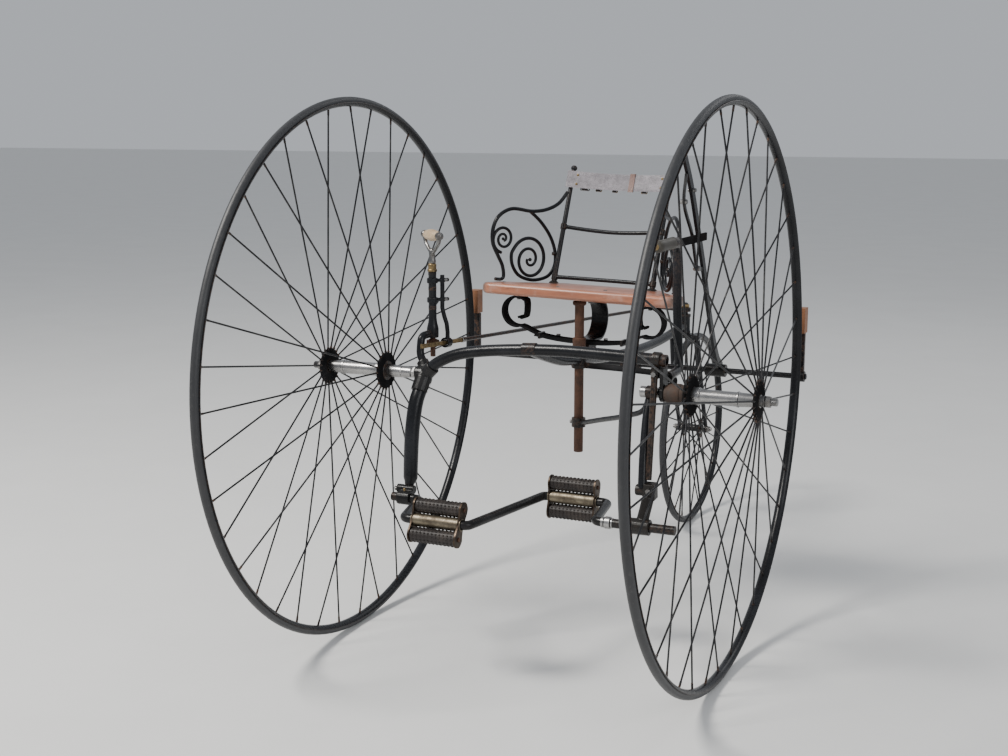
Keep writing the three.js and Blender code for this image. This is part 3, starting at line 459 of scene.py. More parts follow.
def slab(outline, thick, place, low=0.0):
    """An outline of (a, b) points made thick and set by place, which maps (a, b, c) to a point."""
    count = len(outline)
    vertices = [Vector(place(a, b, low)) for a, b in outline]
    vertices += [Vector(place(a, b, low + thick)) for a, b in outline]
    faces = [tuple(reversed(range(count))), tuple(range(count, 2 * count))]
    for i in range(count):
        n = (i + 1) % count
        faces.append((i, n, n + count, i + count))
    return vertices, faces


def ribbon(line, thick):
    """The outline of a strip of even thickness along a line of (a, b) points."""
    points = [Vector(p) for p in line]
    upper, lower = [], []
    for i, p in enumerate(points):
        along = (points[min(i + 1, len(points) - 1)] - points[max(i - 1, 0)]).normalized()
        normal = Vector((-along.y, along.x)) * thick / 2
        upper.append(p + normal)
        lower.append(p - normal)
    return [tuple(p) for p in upper + lower[::-1]]


def moved(shape, matrix):
    return [matrix @ v for v in shape[0]], shape[1]


def box(size, centre):
    sx, sy, sz = (s / 2 for s in size)
    corners = [(-sx, -sy), (sx, -sy), (sx, sy), (-sx, sy)]
    vertices, faces = slab(corners, 2 * sz, lambda a, b, c: (a, b, c), -sz)
    return [v + Vector(centre) for v in vertices], faces


def arc(centre, radius, start, end, steps):
    angles = [math.radians(start + (end - start) * i / steps) for i in range(steps + 1)]
    return [(centre[0] + radius * math.cos(a), centre[1] + radius * math.sin(a)) for a in angles]


def smooth(points, per_span=8):
    """A centripetal Catmull-Rom curve through points."""
    p = [Vector(q) for q in points]
    p = [2 * p[0] - p[1], *p, 2 * p[-1] - p[-2]]
    out = []
    for i in range(1, len(p) - 2):
        knots = [0.0]
        for a, b in zip(p[i - 1 : i + 2], p[i : i + 3]):
            knots.append(knots[-1] + max((b - a).length, 1e-6) ** 0.5)
        for k in range(per_span):
            t = knots[1] + (knots[2] - knots[1]) * k / per_span
            out.append(catmull(knots, p[i - 1 : i + 3], t))
    out.append(p[-2])
    return out


def catmull(knots, points, t):
    def blend(a, b, low, high):
        return ((high - t) * a + (t - low) * b) / (high - low)

    a1 = blend(points[0], points[1], knots[0], knots[1])
    a2 = blend(points[1], points[2], knots[1], knots[2])
    a3 = blend(points[2], points[3], knots[2], knots[3])
    b1 = blend(a1, a2, knots[0], knots[2])
    b2 = blend(a2, a3, knots[1], knots[3])
    return blend(b1, b2, knots[1], knots[2])


def bent(points, round_off, steps=8):
    """A path with each inner corner rounded over the given distance."""
    p = [Vector(q) for q in points]
    path = [p[0]]
    for before, corner, after in zip(p, p[1:], p[2:]):
        start = corner + (before - corner).normalized() * round_off
        end = corner + (after - corner).normalized() * round_off
        for i in range(steps + 1):
            t = i / steps
            path.append((1 - t) ** 2 * start + 2 * t * (1 - t) * corner + t**2 * end)
    path.append(p[-1])
    return path


def cast(node, voxel=1.3, rounds=6):
    """The surface of a CAD node with its corners run together, as a casting's are."""
    solid = bmesh.new()
    solid.from_mesh(frame["nodes"][node].data)
    bmesh.ops.remove_doubles(solid, verts=solid.verts, dist=1e-6)
    mesh = bpy.data.meshes.new("casting")
    solid.to_mesh(mesh)
    solid.free()
    rough = bpy.data.objects.new("casting", mesh)
    bpy.context.scene.collection.objects.link(rough)
    remesh = rough.modifiers.new("remesh", "REMESH")
    remesh.mode = "VOXEL"
    remesh.voxel_size = voxel * MM
    soften = rough.modifiers.new("soften", "SMOOTH")
    soften.factor = 0.5
    soften.iterations = rounds
    done = rough.evaluated_get(bpy.context.evaluated_depsgraph_get()).to_mesh()
    vertices = [local(v.co) for v in done.vertices]
    faces = [tuple(f.vertices) for f in done.polygons]
    bpy.data.objects.remove(rough)
    return vertices, faces


def leaned(point):
    """Where a point of the seat is, now that the seat leans to the rider's left."""
    x, y, z = point
    above = z - LEAN_HEIGHT
    return (x * math.cos(SEAT_LEAN) + above * math.sin(SEAT_LEAN), y,
            LEAN_HEIGHT - x * math.sin(SEAT_LEAN) + above * math.cos(SEAT_LEAN))


def piece(name, body, nodes, parts, bevel=0.0, sharp=38):
    """One mesh object made of (shape, material) parts, in the machine's frame, riding on a body."""
    mesh = bpy.data.meshes.new(name)
    vertices, faces, which = [], [], []
    place = leaned if body == "seat" and nodes != ["seat_post"] else tuple
    materials = list(dict.fromkeys(material for _, material in parts))
    for (points, polygons), material in parts:
        start = len(vertices)
        vertices += [at(*place(p)) for p in points]
        faces += [tuple(i + start for i in face) for face in polygons]
        which += [materials.index(material)] * len(polygons)
    mesh.from_pydata(vertices, [], faces)
    for material in materials:
        mesh.materials.append(material)
    mesh.polygons.foreach_set("material_index", which)
    tidy = bmesh.new()
    tidy.from_mesh(mesh)
    bmesh.ops.recalc_face_normals(tidy, faces=tidy.faces)
    tidy.to_mesh(mesh)
    tidy.free()
    mesh.polygons.foreach_set("use_smooth", [True] * len(mesh.polygons))
    mesh.set_sharp_from_angle(angle=math.radians(sharp))
    obj = bpy.data.objects.new(name, mesh)
    bpy.context.scene.collection.objects.link(obj)
    if bevel:
        rounding = obj.modifiers.new("rounded_edges", "BEVEL")
        rounding.width = bevel * MM
        rounding.segments = 3
        rounding.limit_method = "ANGLE"
        rounding.angle_limit = math.radians(40)
        rounding.harden_normals = True
    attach(obj, body)
    if nodes:
        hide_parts(*nodes)
    return obj


# Wheels


def around(centre, angle, r, x):
    return Vector((centre[0] + x, centre[1] + r * math.sin(angle), centre[2] + r * math.cos(angle)))


def spoke_set(centre, sign, hub_x, turn, size, foot, reach):
    """The spokes of one flange, each with a thick screwed foot and a nipple in the rim."""
    wires, ends = [], []
    for i in range(size["spokes"]):
        angle = 2 * math.pi * (i + turn) / size["spokes"]
        low = around(centre, angle, foot, sign * hub_x)
        high = around(centre, angle, reach, 0)
        along = (high - low).normalized()
        wires.append((tube([low, high], SPOKE_RADIUS, 8), SPOKE))
        ends.append((rod(low - 2 * along, low + 9 * along, 2.9, 8), BLACK))
        ends.append((rod(high - 13 * along, high, 2.5, 8, chamfer=0.5), BLACK))
    return wires + ends


def wheel(side, sign, hub, size, centre, body):
    section, segments = size["section"], size["segments"]
    middle = size["radius"] - section
    round_tyre = arc((middle, 0), section, 0, 345, 23)
    piece(side + "_tyre_rubber", body, [side + "_tyre"],
          [(turned(round_tyre, centre, X, segments, closed=True), TYRE)])
    bed = arc((middle, 0), section + 0.15, 104, 256, 14)
    back = arc((middle, 0), section + 2.7, 254, 106, 14)
    lips = arc((middle, 0), section + 1.6, 259, 101, 1)
    piece(side + "_rim_channel", body, [side + "_rim"],
          [(turned([*bed, lips[0], *back, lips[1]], centre, X, segments, closed=True), BLACK)])
    reach = size["radius"] - 2 * section - 2.2
    parts = hub(sign, centre, size, reach)
    piece(side + "_hub_and_spokes", body, [side + "_hub"], parts)


def flange(x, thick, radius, neck):
    """A disc with a rounded rim and a raised middle, as (radius, x) pairs around x."""
    half = thick / 2
    rim = arc((radius - half, 0), half, -80, 80, 8)
    return ([(neck + 6, x - half)] + [(r, x + dx) for r, dx in rim] + [(neck + 6, x + half)])


def big_hub(places):
    def build(sign, centre, size, reach):
        inner, thick, outer = places["inner"], places["inner_thick"], places["outer"]
        bore = AXLE_RADIUS + 0.3
        barrel = [
            (bore, inner + 2), (18.5, inner + 3), (18.5, inner + 19), (17.4, inner + 20),
            (17.4, inner + 21.5), (15, inner + 23), (15, 24), (16.4, 25), (16.6, 28), (15, 29.5),
            (13.2, outer - 4), (bore, outer - 2),
        ]
        nose = [(bore, outer), (13.5, outer + 0.5), (13.5, outer + 4), (11.5, outer + 5),
                (11.2, outer + 10), (bore, outer + 11)]
        cap = [(bore, inner - thick / 2 - 1.5), (21, inner - thick / 2 - 1.5), (23, inner - thick / 2 + 1),
               (bore, inner)]
        axis = sign * X
        parts = [(turned(profile, centre, axis, 56, closed=True), look)
                 for profile, look in ((barrel, NICKEL), (nose, NICKEL_DULL), (cap, BLACK_WORN))]
        discs = [(outer, 5)]
        if thick > 10:
            discs += [(inner - thick / 4 - 0.4, thick / 2), (inner + thick / 4 + 0.4, thick / 2)]
        else:
            discs += [(inner, thick)]
        for x, depth in discs:
            disc = [(bore, x - depth / 2 + 0.8), *flange(x, depth, size["flange"], 15),
                    (bore, x + depth / 2 - 0.8)]
            parts.append((turned(disc, centre, axis, 72, closed=True), BLACK_DULL))
        parts += spoke_set(centre, sign, inner, 0, size, 36, reach)
        parts += spoke_set(centre, sign, outer, 0.5, size, 36, reach)
        return parts

    return build


def rear_hub(sign, centre, size, reach):
    profile = [(5.4, -28), (9, -28), (9.6, -27.4), (9.6, -25.5), (22, -26.6), (22.6, -25), (22, -23.4),
               (12, -20), (10.4, -16), (10.4, 16), (12, 20), (22, 23.4), (22.6, 25), (22, 26.6),
               (9.6, 25.5), (9.6, 27.4), (9, 28), (5.4, 28)]
    parts = [(turned(profile, centre, X, 48, closed=True), BLACK_WORN)]
    for x, turn in ((25, 0), (-25, 0.5)):
        parts += spoke_set(centre, 1, x, turn, size, 18, reach)
    return parts


def wheels():
    left, right = pivot("left_wheel_spin"), pivot("right_wheel_spin")
    wheel("left", 1, big_hub(LEFT_HUB), WHEEL, left, "left_wheel")
    wheel("right", -1, big_hub(RIGHT_HUB), WHEEL, right, "right_wheel")
    wheel("rear", 1, rear_hub, REAR, REAR_HUB, "rear_wheel")


def axles():
    h = axle.z
    thread = [(7.9 - 0.5 * (k % 2), 534 + 0.6 * k) for k in range(17)]
    for side, sign, start in (("left", 1, 255), ("right", -1, 262)):
        shaft = [(0, start), (7.9, start), (7.9, 517), *thread, (7.6, 545), (6.4, 546), (0, 546)]
        parts = [(turned(shaft, (0, 0, h), sign * X, 40), NICKEL_DULL)]
        if side == "left":
            for low, high, r in ((255, 268, 12), (284, 299.6, 11)):
                parts.append((ring((low, 0, h), (high, 0, h), 7.5, r), NICKEL))
        else:
            parts.append((hexagon((-277.6, 0, h), (-288, 0, h), 13.5), NICKEL))
        piece(side + "_axle_shaft", "frame", [side + "_axle"], parts)
        nut = [(hexagon((sign * 519.6, 0, h), (sign * 532, 0, h), 13), NICKEL_DULL),
               (ring((sign * 518, 0, h), (sign * 519.4, 0, h), 8.4, 13.2), NICKEL_DULL)]
        piece(side + "_hub_nut", "frame", [side + "_axle_nut"], nut)
    drum = [(8.4, 309), (16.5, 309), (17.5, 310), (17.5, 312), (21, 318), (22.2, 322), (22.5, 330),
            (22.5, 341), (21.8, 343.5), (21, 344), (21, 346), (20.4, 355.5), (19.4, 357), (8.4, 357)]
    piece("left_cone_drum", "frame", ["left_drum"],
          [(turned(drum, (0, 0, h), X, 56, closed=True), RUST_PALE)])
    sleeve = [(8.4, 289), (11.4, 289), (12, 289.6), (13, 309), (12.2, 310), (12.2, 313), (13.2, 314),
              (14.9, 349.5), (14.3, 351), (8.4, 351)]
    piece("right_axle_sleeve", "frame", ["right_sleeve"],
          [(turned(sleeve, (0, 0, h), -X, 56, closed=True), NICKEL)])


# Frame

CROSS = [(-244, 0, 621), (-230, 0, 633), (-205, 0, 647), (-170, 0, 660), (-110, 0, 671), (-24, 0, 679),
         (70, 0, 683.5), (170, 0, 682.5), (250, 0, 680.5), (311, 0, 678.3)]
LEG = [(-258, -8, 590), (-263, -30, 552), (-265, -46, 492), (-264, -56, 430), (-263, -61, 384)]
NECK = [(-261, 18, 620), (-283, 26, 646), (-283, 34, 688), (-279, 70, 690)]
SPINE = [(0, 8, 678), (0, 80, 656), (0, 180, 630), (0, 285, 617), (0, 460, 596), (0, 640, 583),
         (0, 850, 580), (0, 1066, 594)]
SIDE_STAY = [(18.5, 284, 604), (120, 284, 602), (225, 262, 600), (268, 180, 600), (276, 28, 604)]
LOWER_STAY = [(10, 276, 467), (90, 190, 498), (190, 85, 536), (252, 30, 566), (266, 20, 597)]
LEFT_LEG = [(274, 6, 600), (274, -14, 560), (280, -48, 480), (285, -66, 428), (285.5, -68, 420)]


def frame_tubes():
    mouth = [(9.4, 0), (TUBE_RADIUS - 0.8, 0), (TUBE_RADIUS, 0.8), (TUBE_RADIUS, 16), (9.4, 16)]
    end, before = Vector(CROSS[-1]), Vector(CROSS[-2])
    inward = (before - end).normalized()
    parts = [(tube([*smooth(CROSS[:-1]), end + 14 * inward], TUBE_RADIUS, 32), BLACK),
             (turned(mouth, end, inward, 40, closed=True), BLACK)]
    piece("cross_tube_bar", "frame", ["cross_tube"], parts)

    leg = smooth(LEG)
    swell = [LEG_RADIUS * (0.97 + 0.03 * math.sin(math.pi * i / (len(leg) - 1))) for i in range(len(leg))]
    foot = [Vector((-263, -62.5, 380)), Vector((-263, -65, 374)), Vector((-263, -69, 366.4))]
    piece("right_leg_bar", "frame", ["right_leg"],
          [(tube(leg + foot, swell + [15, 12, 9], 32), BLACK)])

    piece("right_lug_casting", "frame", ["right_lug"], [(cast("right_lug"), BLACK_WORN)])
    bearing = [(cast("right_bearing", 1.0), BLACK_WORN),
               (hexagon((-288, -74, 360), (-294.5, -74, 360), 6.5), NICKEL_DULL),
               (rod((-262, CRANK.y, CRANK.z + 14), (-262, CRANK.y, CRANK.z + 21), 3, 12), BRASS)]
    piece("right_bearing_casting", "frame", ["right_bearing"], bearing)

    spine = smooth(SPINE)
    hanger = [(box((54, 10, 22), (0, BRAKE.y, 566)), BLACK),
              (rod((-27, BRAKE.y, BRAKE.z), (27, BRAKE.y, BRAKE.z), 12, 32), BLACK)]
    saddle = [(ring((-16, 0, 681), (16, 0, 682.7), 12.8, 14.2, chamfer=0.6), BLACK),
              (ring((0, SEAT_POST_Y, 597), (0, SEAT_POST_Y, 638), 11.5, 17.5), BLACK_WORN),
              (ring((0, SEAT_POST_Y, 600), (0, SEAT_POST_Y, 606), 17, 18.6), BLACK_WORN),
              (ring((0, SEAT_POST_Y, 630), (0, SEAT_POST_Y, 636), 17, 18.6), BLACK_WORN)]
    bolts = [(hexagon((s * 20, BRAKE.y - 5, 574), (s * 20, BRAKE.y - 9.5, 574), 5), NICKEL_DULL)
             for s in (-1, 1)]
    piece("backbone_tube", "frame", ["backbone"],
          [(tube(spine, 12, 28), BLACK), *saddle, *hanger, *bolts])

    side = [(tube(smooth(SIDE_STAY), 7, 20), BLACK_DULL)]
    piece("side_stay_bar", "frame", ["side_stay"], side)
    lower = [(tube(smooth(LOWER_STAY), 6, 20), BLACK),
             (ring((0, SEAT_POST_Y, 456), (0, SEAT_POST_Y, 478), 11.5, 16.5), BLACK_WORN),
             (hexagon((-16, SEAT_POST_Y, 467), (-21, SEAT_POST_Y, 467), 5), NICKEL_DULL)]
    piece("lower_stay_bar", "frame", ["lower_stay"], lower)


def left_frame():
    piece("left_axle_plate_iron", "frame", ["left_axle_plate"],
          [(cast("left_axle_plate", 1.0, 4), BLACK_WORN)])
    strut = [(cast("left_strut", 1.0, 3), BLACK_RUSTY),
             (rod((289.5, -15, 646), (296.1, -61.6, 437.2), 7, 20), BLACK_RUSTY),
             (hexagon((289.5, -18, 652), (289.5, -25, 652), 6.2), NICKEL_DULL)]
    piece("left_strut_iron", "frame", ["left_strut"], strut)
    leg = [(tube(smooth(LEFT_LEG), 9.5, 24), BLACK),
           (ring((269, 0, axle.z), (283, 0, axle.z), 8.5, 14), BLACK_WORN)]
    piece("left_leg_bar", "frame", ["left_leg"], leg)
    bearing = [(cast("left_bearing", 1.1, 5), BLACK_RUSTY),
               (hexagon((303, -78, 418), (303, -84.5, 418), 6.5), NICKEL_DULL),
               (ring((271.6, -66, 416), (276, -66, 416), 6, 11), NICKEL)]
    piece("left_bearing_casting", "frame", ["left_bearing"], bearing)


# Crank and pedals


def crank():
    t = CRANK_THROW
    line = [(-292, 0), (-224, 0), (-184, -t), (-34, -t), (12, t), (164, t), (190, 0), (366, 0)]
    path = bent([(x, CRANK.y + y, CRANK.z) for x, y in line], 15, 8)
    collars = [(ring((x, CRANK.y, CRANK.z), (x + w, CRANK.y, CRANK.z), 9.5, r), NICKEL)
               for x, w, r in ((206, 6, 11.5), (214, 12, 13), (228, 3, 11))]
    piece("crankshaft_bar", "crank", ["crankshaft"],
          [(tube(path, CRANK_RADIUS, 28), BLACK_WORN), *collars])
    pedal("right", pivot("right_pedal_spin"), -0.45)
    pedal("left", pivot("left_pedal_spin"), -0.12)


def block_rubber(centre, spin, height, length, radius):
    """A rubber block, eight-sided with rounded corners, with rows of small diamonds on its faces."""
    outline = []
    for k in range(8):
        angle = math.radians(22.5 + 45 * k)
        outline += [(radius * math.cos(angle + d), radius * math.sin(angle + d)) for d in (-0.12, 0.12)]
    body = slab(outline, length, lambda a, b, c: (c, a, b + height), -length / 2)
    parts = [(body, TREAD)]
    face = radius * math.cos(math.radians(22.5 - 7))
    for k in range(8):
        angle = math.radians(45 * k)
        out = Vector((0, math.cos(angle), math.sin(angle)))
        across = Vector((0, -math.sin(angle), math.cos(angle)))
        for i in range(11):
            along = (i - 5) * length / 11.6
            for row in (-1, 1):
                middle = Vector((along, 0, height)) + face * out + row * 2.9 * across
                size = (3.7, 2.3)
                corners = [middle + dx * X + dy * across for dx, dy in
                           ((-size[0], 0), (0, -size[1]), (size[0], 0), (0, size[1]))]
                tip = middle + 1.9 * out
                tips = [tip + 0.42 * (c - middle) for c in corners]
                faces = [(0, 1, 5, 4), (1, 2, 6, 5), (2, 3, 7, 6), (3, 0, 4, 7), (4, 5, 6, 7), (3, 2, 1, 0)]
                parts.append(((corners + tips, faces), TREAD))
    turn = Matrix.Translation(centre) @ spin.to_4x4()
    return [(moved(shape, turn), look) for shape, look in parts]


def pedal(side, centre, tilt):
    """A pedal: two rubber blocks between scalloped end plates, on a bronze sleeve."""
    spin = Matrix.Rotation(tilt, 3, "X")
    turn = Matrix.Translation(centre) @ spin.to_4x4()
    waist, blocks, radius = 13, 31, 17.5
    outline = []
    for s in (1, -1):
        for i in range(25):
            angle = math.radians(-25 + 230 * i / 24)
            r = radius + 0.7 * abs(math.sin(3.5 * angle))
            outline.append((s * r * math.cos(angle), s * (blocks + r * math.sin(angle))))
        outline += [(-s * waist, s * 9), (-s * (waist - 1.5), 0)]
    parts = []
    for x in (-56, 52.2):
        plate = slab(outline, 3.8, lambda a, b, c: (c, a, b), x)
        parts.append((plate, BRONZE_DARK))
    parts.append((ring((-52.5, 0, 0), (52.5, 0, 0), 10.3, 14, 48), BRONZE))
    for x in (-58, 55.6):
        parts.append((ring((x, 0, 0), (x + 2.4, 0, 0), 10.4, 13.2, 40), BRONZE))
        out, base = (-1, x) if x < 0 else (1, x + 2.4)
        for z in (-blocks, blocks):
            parts.append((hexagon((base - out * 2.2, 0, z), (base + out * 0.4, 0, z), 5), RUST))
    placed = [(moved(shape, turn), look) for shape, look in parts]
    piece(side + "_pedal_cage", side + "_pedal", [side + "_pedal_frame"], placed, bevel=0.5)
    for where, s in (("upper", 1), ("lower", -1)):
        block = block_rubber(centre, spin, s * blocks, 103, 15.2)
        name = f"{side}_pedal_{where}_rubber"
        piece(name + "_block", side + "_pedal", [name], block, sharp=30)


# Steering


def on_rod(distance):
    """A point of the steering rod's line, at a distance from its place beside the pinion."""
    reach = PINION_RADIUS + RACK_HALF + RACK_PLAY
    beside = Vector((COLUMN.x + reach * ROD_AXIS.y, COLUMN.y - reach * ROD_AXIS.x, RACK_Z))
    return beside + distance * ROD_AXIS


def steering():
    cx, cy = COLUMN.x, COLUMN.y
    sleeve = [(6.6, 680), (12.6, 680), (13.6, 681), (13.6, 700), (12.4, 706), (10.4, 714), (9.2, 724),
              (9, 740), (9, 822), (9.4, 823), (9.4, 829.4), (8.8, 830), (6.6, 830)]
    bands = [(ring((cx, cy, z), (cx, cy, z + 9), 8.6, 9.3), BLACK) for z in (788, 744)]
    piece("steering_column_sleeve", "frame", ["steering_column"],
          [(turned(sleeve, (cx, cy, 0), Z, 48, closed=True), BLACK),
           (tube(bent(NECK, 13, 8), 8.8, 28), BLACK), *bands])
    collar = [(6.5, 830.4), (10.4, 830.4), (11, 831), (11, 835), (10.2, 836), (9.2, 837), (9.4, 841),
              (9.6, 846), (9, 848), (8, 849), (6.5, 849)]
    piece("brass_collar", "frame", ["column_collar"],
          [(turned(collar, (cx, cy, 0), Z, 48, closed=True), BRASS)])

    spindle = [(0, 636), (5.4, 636), (6, 637), (6, 657), (9, 658), (9, 660), (12.7, 660.4), (12.7, 673.6),
               (9, 674), (9, 676), (6, 677), (6, 867), (0, 868)]
    teeth = []
    for i in range(14):
        turn = Matrix.Rotation(2 * math.pi * i / 14 - math.atan2(ROD_AXIS.x, ROD_AXIS.y), 4, "Z")
        tooth = box((5, 2, 13.4), (12.3, 0, RACK_Z))
        teeth.append((moved(tooth, Matrix.Translation((cx, cy, 0)) @ turn), RUST))
    piece("steering_spindle_shaft", "handle", ["steering_spindle"],
          [(turned(spindle, (cx, cy, 0), Z, 32), RUST), *teeth])
    spade(cx, cy)
    guide_arm()
    rack()


def spade(cx, cy):
    turn = Matrix.Translation((cx, cy, 0)) @ Matrix.Rotation(-math.atan2(0.6, 0.8), 4, "Z")
    grip_z = 913
    parts = []
    for s in (-1, 1):
        path = smooth([(0, 0, 864), (s * 5, 0, 873), (s * 20, 0, 884), (s * 33, 0, 897), (s * 38, 0, grip_z)])
        radii = [5.6 - 1.3 * math.sin(math.pi * i / (len(path) - 1)) for i in range(len(path))]
        parts.append((tube(path, radii, 20), NICKEL_DULL))
        eye = [(0, 31.4), (7.4, 31.4), (8.8, 33), (9.2, 37.5), (8.6, 42), (6, 43.8), (3.4, 44), (3.4, 45.4),
               (2.6, 46), (0, 46.2)]
        parts.append((turned(eye, (0, 0, grip_z), s * X, 32), NICKEL_DULL))
    neck = [(6.4, 850), (8, 850), (8.6, 851), (8.4, 856), (7.2, 862), (7, 868), (7.4, 874), (6, 880),
            (3, 883), (0, 883.4)]
    parts.append((turned([*neck, (0, 868.6), (6.4, 868.5)], (0, 0, 0), Z, 36, closed=True), NICKEL_DULL))
    piece("spade_handle_fork", "handle", ["spade_fork"],
          [(moved(shape, turn), look) for shape, look in parts])
    barrel = [(0, -30.6), (8.2, -30.6), (9, -29.8), (9.6, -27), (11.6, -18), (13, -8), (13.4, 0),
              (13, 8), (11.6, 18), (9.6, 27), (9, 29.8), (8.2, 30.6), (0, 30.6)]
    grip = moved(turned(barrel, (0, 0, grip_z), X, 48), turn)
    piece("spade_grip_wood", "handle", ["spade_grip"], [(grip, CREAM)])


def guide_arm():
    extra = []
    toward = Vector((0.6, 0.8, 0))
    foot = Vector((COLUMN.x, COLUMN.y, 0)) + 25 * toward
    for z in (810, 766):
        knob = foot + Vector((0, 0, z))
        extra.append((rod(knob, knob + 12 * toward, 4.4, 16), NICKEL_DULL))
        extra.append((ball(knob + 13 * toward, 4.4, 14), BLACK_WORN))
    piece("guide_arm_iron", "frame", ["guide_arm"],
          [(cast("guide_arm", 0.9, 8), BLACK), *extra])


def rack():
    """The toothed rack, taken from the CAD with its flat faces joined, and the rod to the rear."""
    merged = bmesh.new()
    merged.from_mesh(frame["nodes"]["steering_rack"].data)
    bmesh.ops.remove_doubles(merged, verts=merged.verts, dist=1e-6)
    bmesh.ops.dissolve_limit(merged, angle_limit=0.02, verts=merged.verts, edges=merged.edges)
    vertices = [local(v.co) for v in merged.verts]
    faces = [tuple(v.index for v in f.verts) for f in merged.faces]
    merged.free()
    piece("steering_rack_bar", "rack", ["steering_rack"], [((vertices, faces), BRASS)], bevel=0.35)
    joint, end = on_rod(92.5), on_rod(ROD_LENGTH)
    parts = [(tube([joint, end - 10 * ROD_AXIS], 4.6, 20), BLACK),
             (rod(joint - 2 * ROD_AXIS, joint + 14 * ROD_AXIS, 6.4, 20), NICKEL_DULL),
             (rod(end - 26 * ROD_AXIS, end - 11 * ROD_AXIS, 6.2, 20), BLACK_WORN),
             (ring(end - 5 * Z, end + 3.8 * Z, 7.6, 12.5), BLACK_WORN)]
    piece("steering_rod_bar", "rack", ["steering_rod"], parts)


# Rear end


def rear_end():
    hy = HEAD.y
    tube_profile = [(9.5, 572), (16, 572), (17.4, 573), (17.4, 579), (16, 581), (15.6, 590), (15.6, 609),
                    (16, 618), (17.4, 620), (17.4, 626), (16, 627), (9.5, 627)]
    piece("head_tube_sleeve", "frame", ["head_tube"],
          [(turned(tube_profile, (0, hy, 0), Z, 48, closed=True), BLACK)])
    parts = [(rod((0, hy, 560), (0, hy, 658), 9, 32), BLACK),
             (rod((0, hy, 660), (0, hy, 656), 7, 20), NICKEL_DULL)]
    crown = ribbon([(-46, 557), (-38, 562), (-14, 565), (14, 565), (38, 562), (46, 557)], 13)
    parts.append((slab(crown, 26, lambda a, b, c: (a, 1082 + c, b), -13), BLACK))
    for s in (-1, 1):
        blade = smooth([(s * 37, 1084, 562), (s * 40, 1112, 450), (s * 40, 1150, 350),
                        (s * 40, REAR_HUB.y, 290)])
        radii = [7.6 - 1.8 * i / (len(blade) - 1) for i in range(len(blade))]
        parts.append((tube(blade, radii, 20, 0.8), BLACK))
        parts.append((ring((s * 36, REAR_HUB.y, REAR_HUB.z), (s * 44, REAR_HUB.y, REAR_HUB.z), 5.3, 12),
                      BLACK))
    piece("rear_fork_iron", "rear_steering", ["rear_fork"], parts, bevel=1.0)

    eye = on_rod(ROD_LENGTH)
    end = Vector((eye.x, eye.y, 640))
    arm = [(ring((0, hy, 634), (0, hy, 645), 9.2, 17), BLACK),
           (tube([(-12, hy, 640), (0.5 * eye.x, 0.5 * (hy + eye.y), 641), end], [7.5, 6, 6.5], 20), BLACK),
           (rod(end - 5 * Z, end + 5 * Z, 9, 28), BLACK_WORN),
           (rod((eye.x, eye.y, eye.z - 9), end, 4, 20), NICKEL_DULL),
           (hexagon((0, hy, 646), (0, hy, 655), 14), BRASS)]
    piece("rear_steering_arm_iron", "rear_steering", ["rear_steering_arm"], arm)
    spindle = [(0, -58), (4.4, -58), (5, -57.4), (5, 57.4), (4.4, 58), (0, 58)]
    parts = [(turned(spindle, REAR_HUB, X, 24), NICKEL_DULL)]
    for s in (-1, 1):
        parts.append((hexagon(REAR_HUB + s * 45.4 * X, REAR_HUB + s * 53 * X, 9), NICKEL_DULL))
        washer = ring(REAR_HUB + s * 44.2 * X, REAR_HUB + s * 45.4 * X, 5, 9.6, chamfer=0.2)
        parts.append((washer, NICKEL_DULL))
    piece("rear_axle_shaft", "rear_steering", ["rear_axle"], parts)


# Left hand and brake


def left_hand():
    path = bent([(304, 30.5, 640), (298, 122, 640), (291, 122, 760), (288, 122, 905)], 18, 8)
    parts = [(tube(path, 9.5, 28), BLACK),
             (tube([(288, 122, 898), (291, 112, 909), (298, 94, 915)], 10, 28), BLACK),
             (rod((297.6, 97, 915), (298, 63, 917), 11.4, 32), BLACK_WORN),
             (rod((304, 26, 640), (304, 40, 640), 11, 28), BLACK_WORN)]
    piece("left_handle_post_bar", "frame", ["left_handle_post"], parts)
    wood_grip = [(0, -46), (7, -45.6), (9.6, -43.6), (12.4, -36), (12.9, -26), (12.2, -12), (12, 10),
                 (12.4, 32), (13, 44), (13, 56), (12.4, 61), (9, 61.6), (0, 61.6)]
    cap = [(0, -47.4), (5, -47.2), (6.4, -46.2), (6.4, -45), (0, -45)]
    centre = (298, 0, 917)
    piece("left_grip_handle", "frame", ["left_grip"],
          [(turned(wood_grip, centre, Y, 40), DARK_WOOD), (turned(cap, centre, Y, 24), BRASS),
           (ring((298, 52, 917), (298, 61.8, 917), 11, 13.2), BLACK_WORN)])
    bar = bent([(279, 136, 902), (254, 175, 902), (252.5, 442, 902)], 16, 8)
    outline = ribbon([(p.y, p.x) for p in bar], 5)
    piece("brake_quadrant_bar", "frame", ["brake_quadrant"],
          [(slab(outline, 18, lambda a, b, c: (b, a, 902 + c), -9), BLACK_DULL),
           (rod((279, 132, 902), (279, 141, 902), 5, 16), NICKEL_DULL),
           (hexagon((250, 200, 902), (246.4, 200, 902), 3.4), NICKEL_DULL)], bevel=0.8)


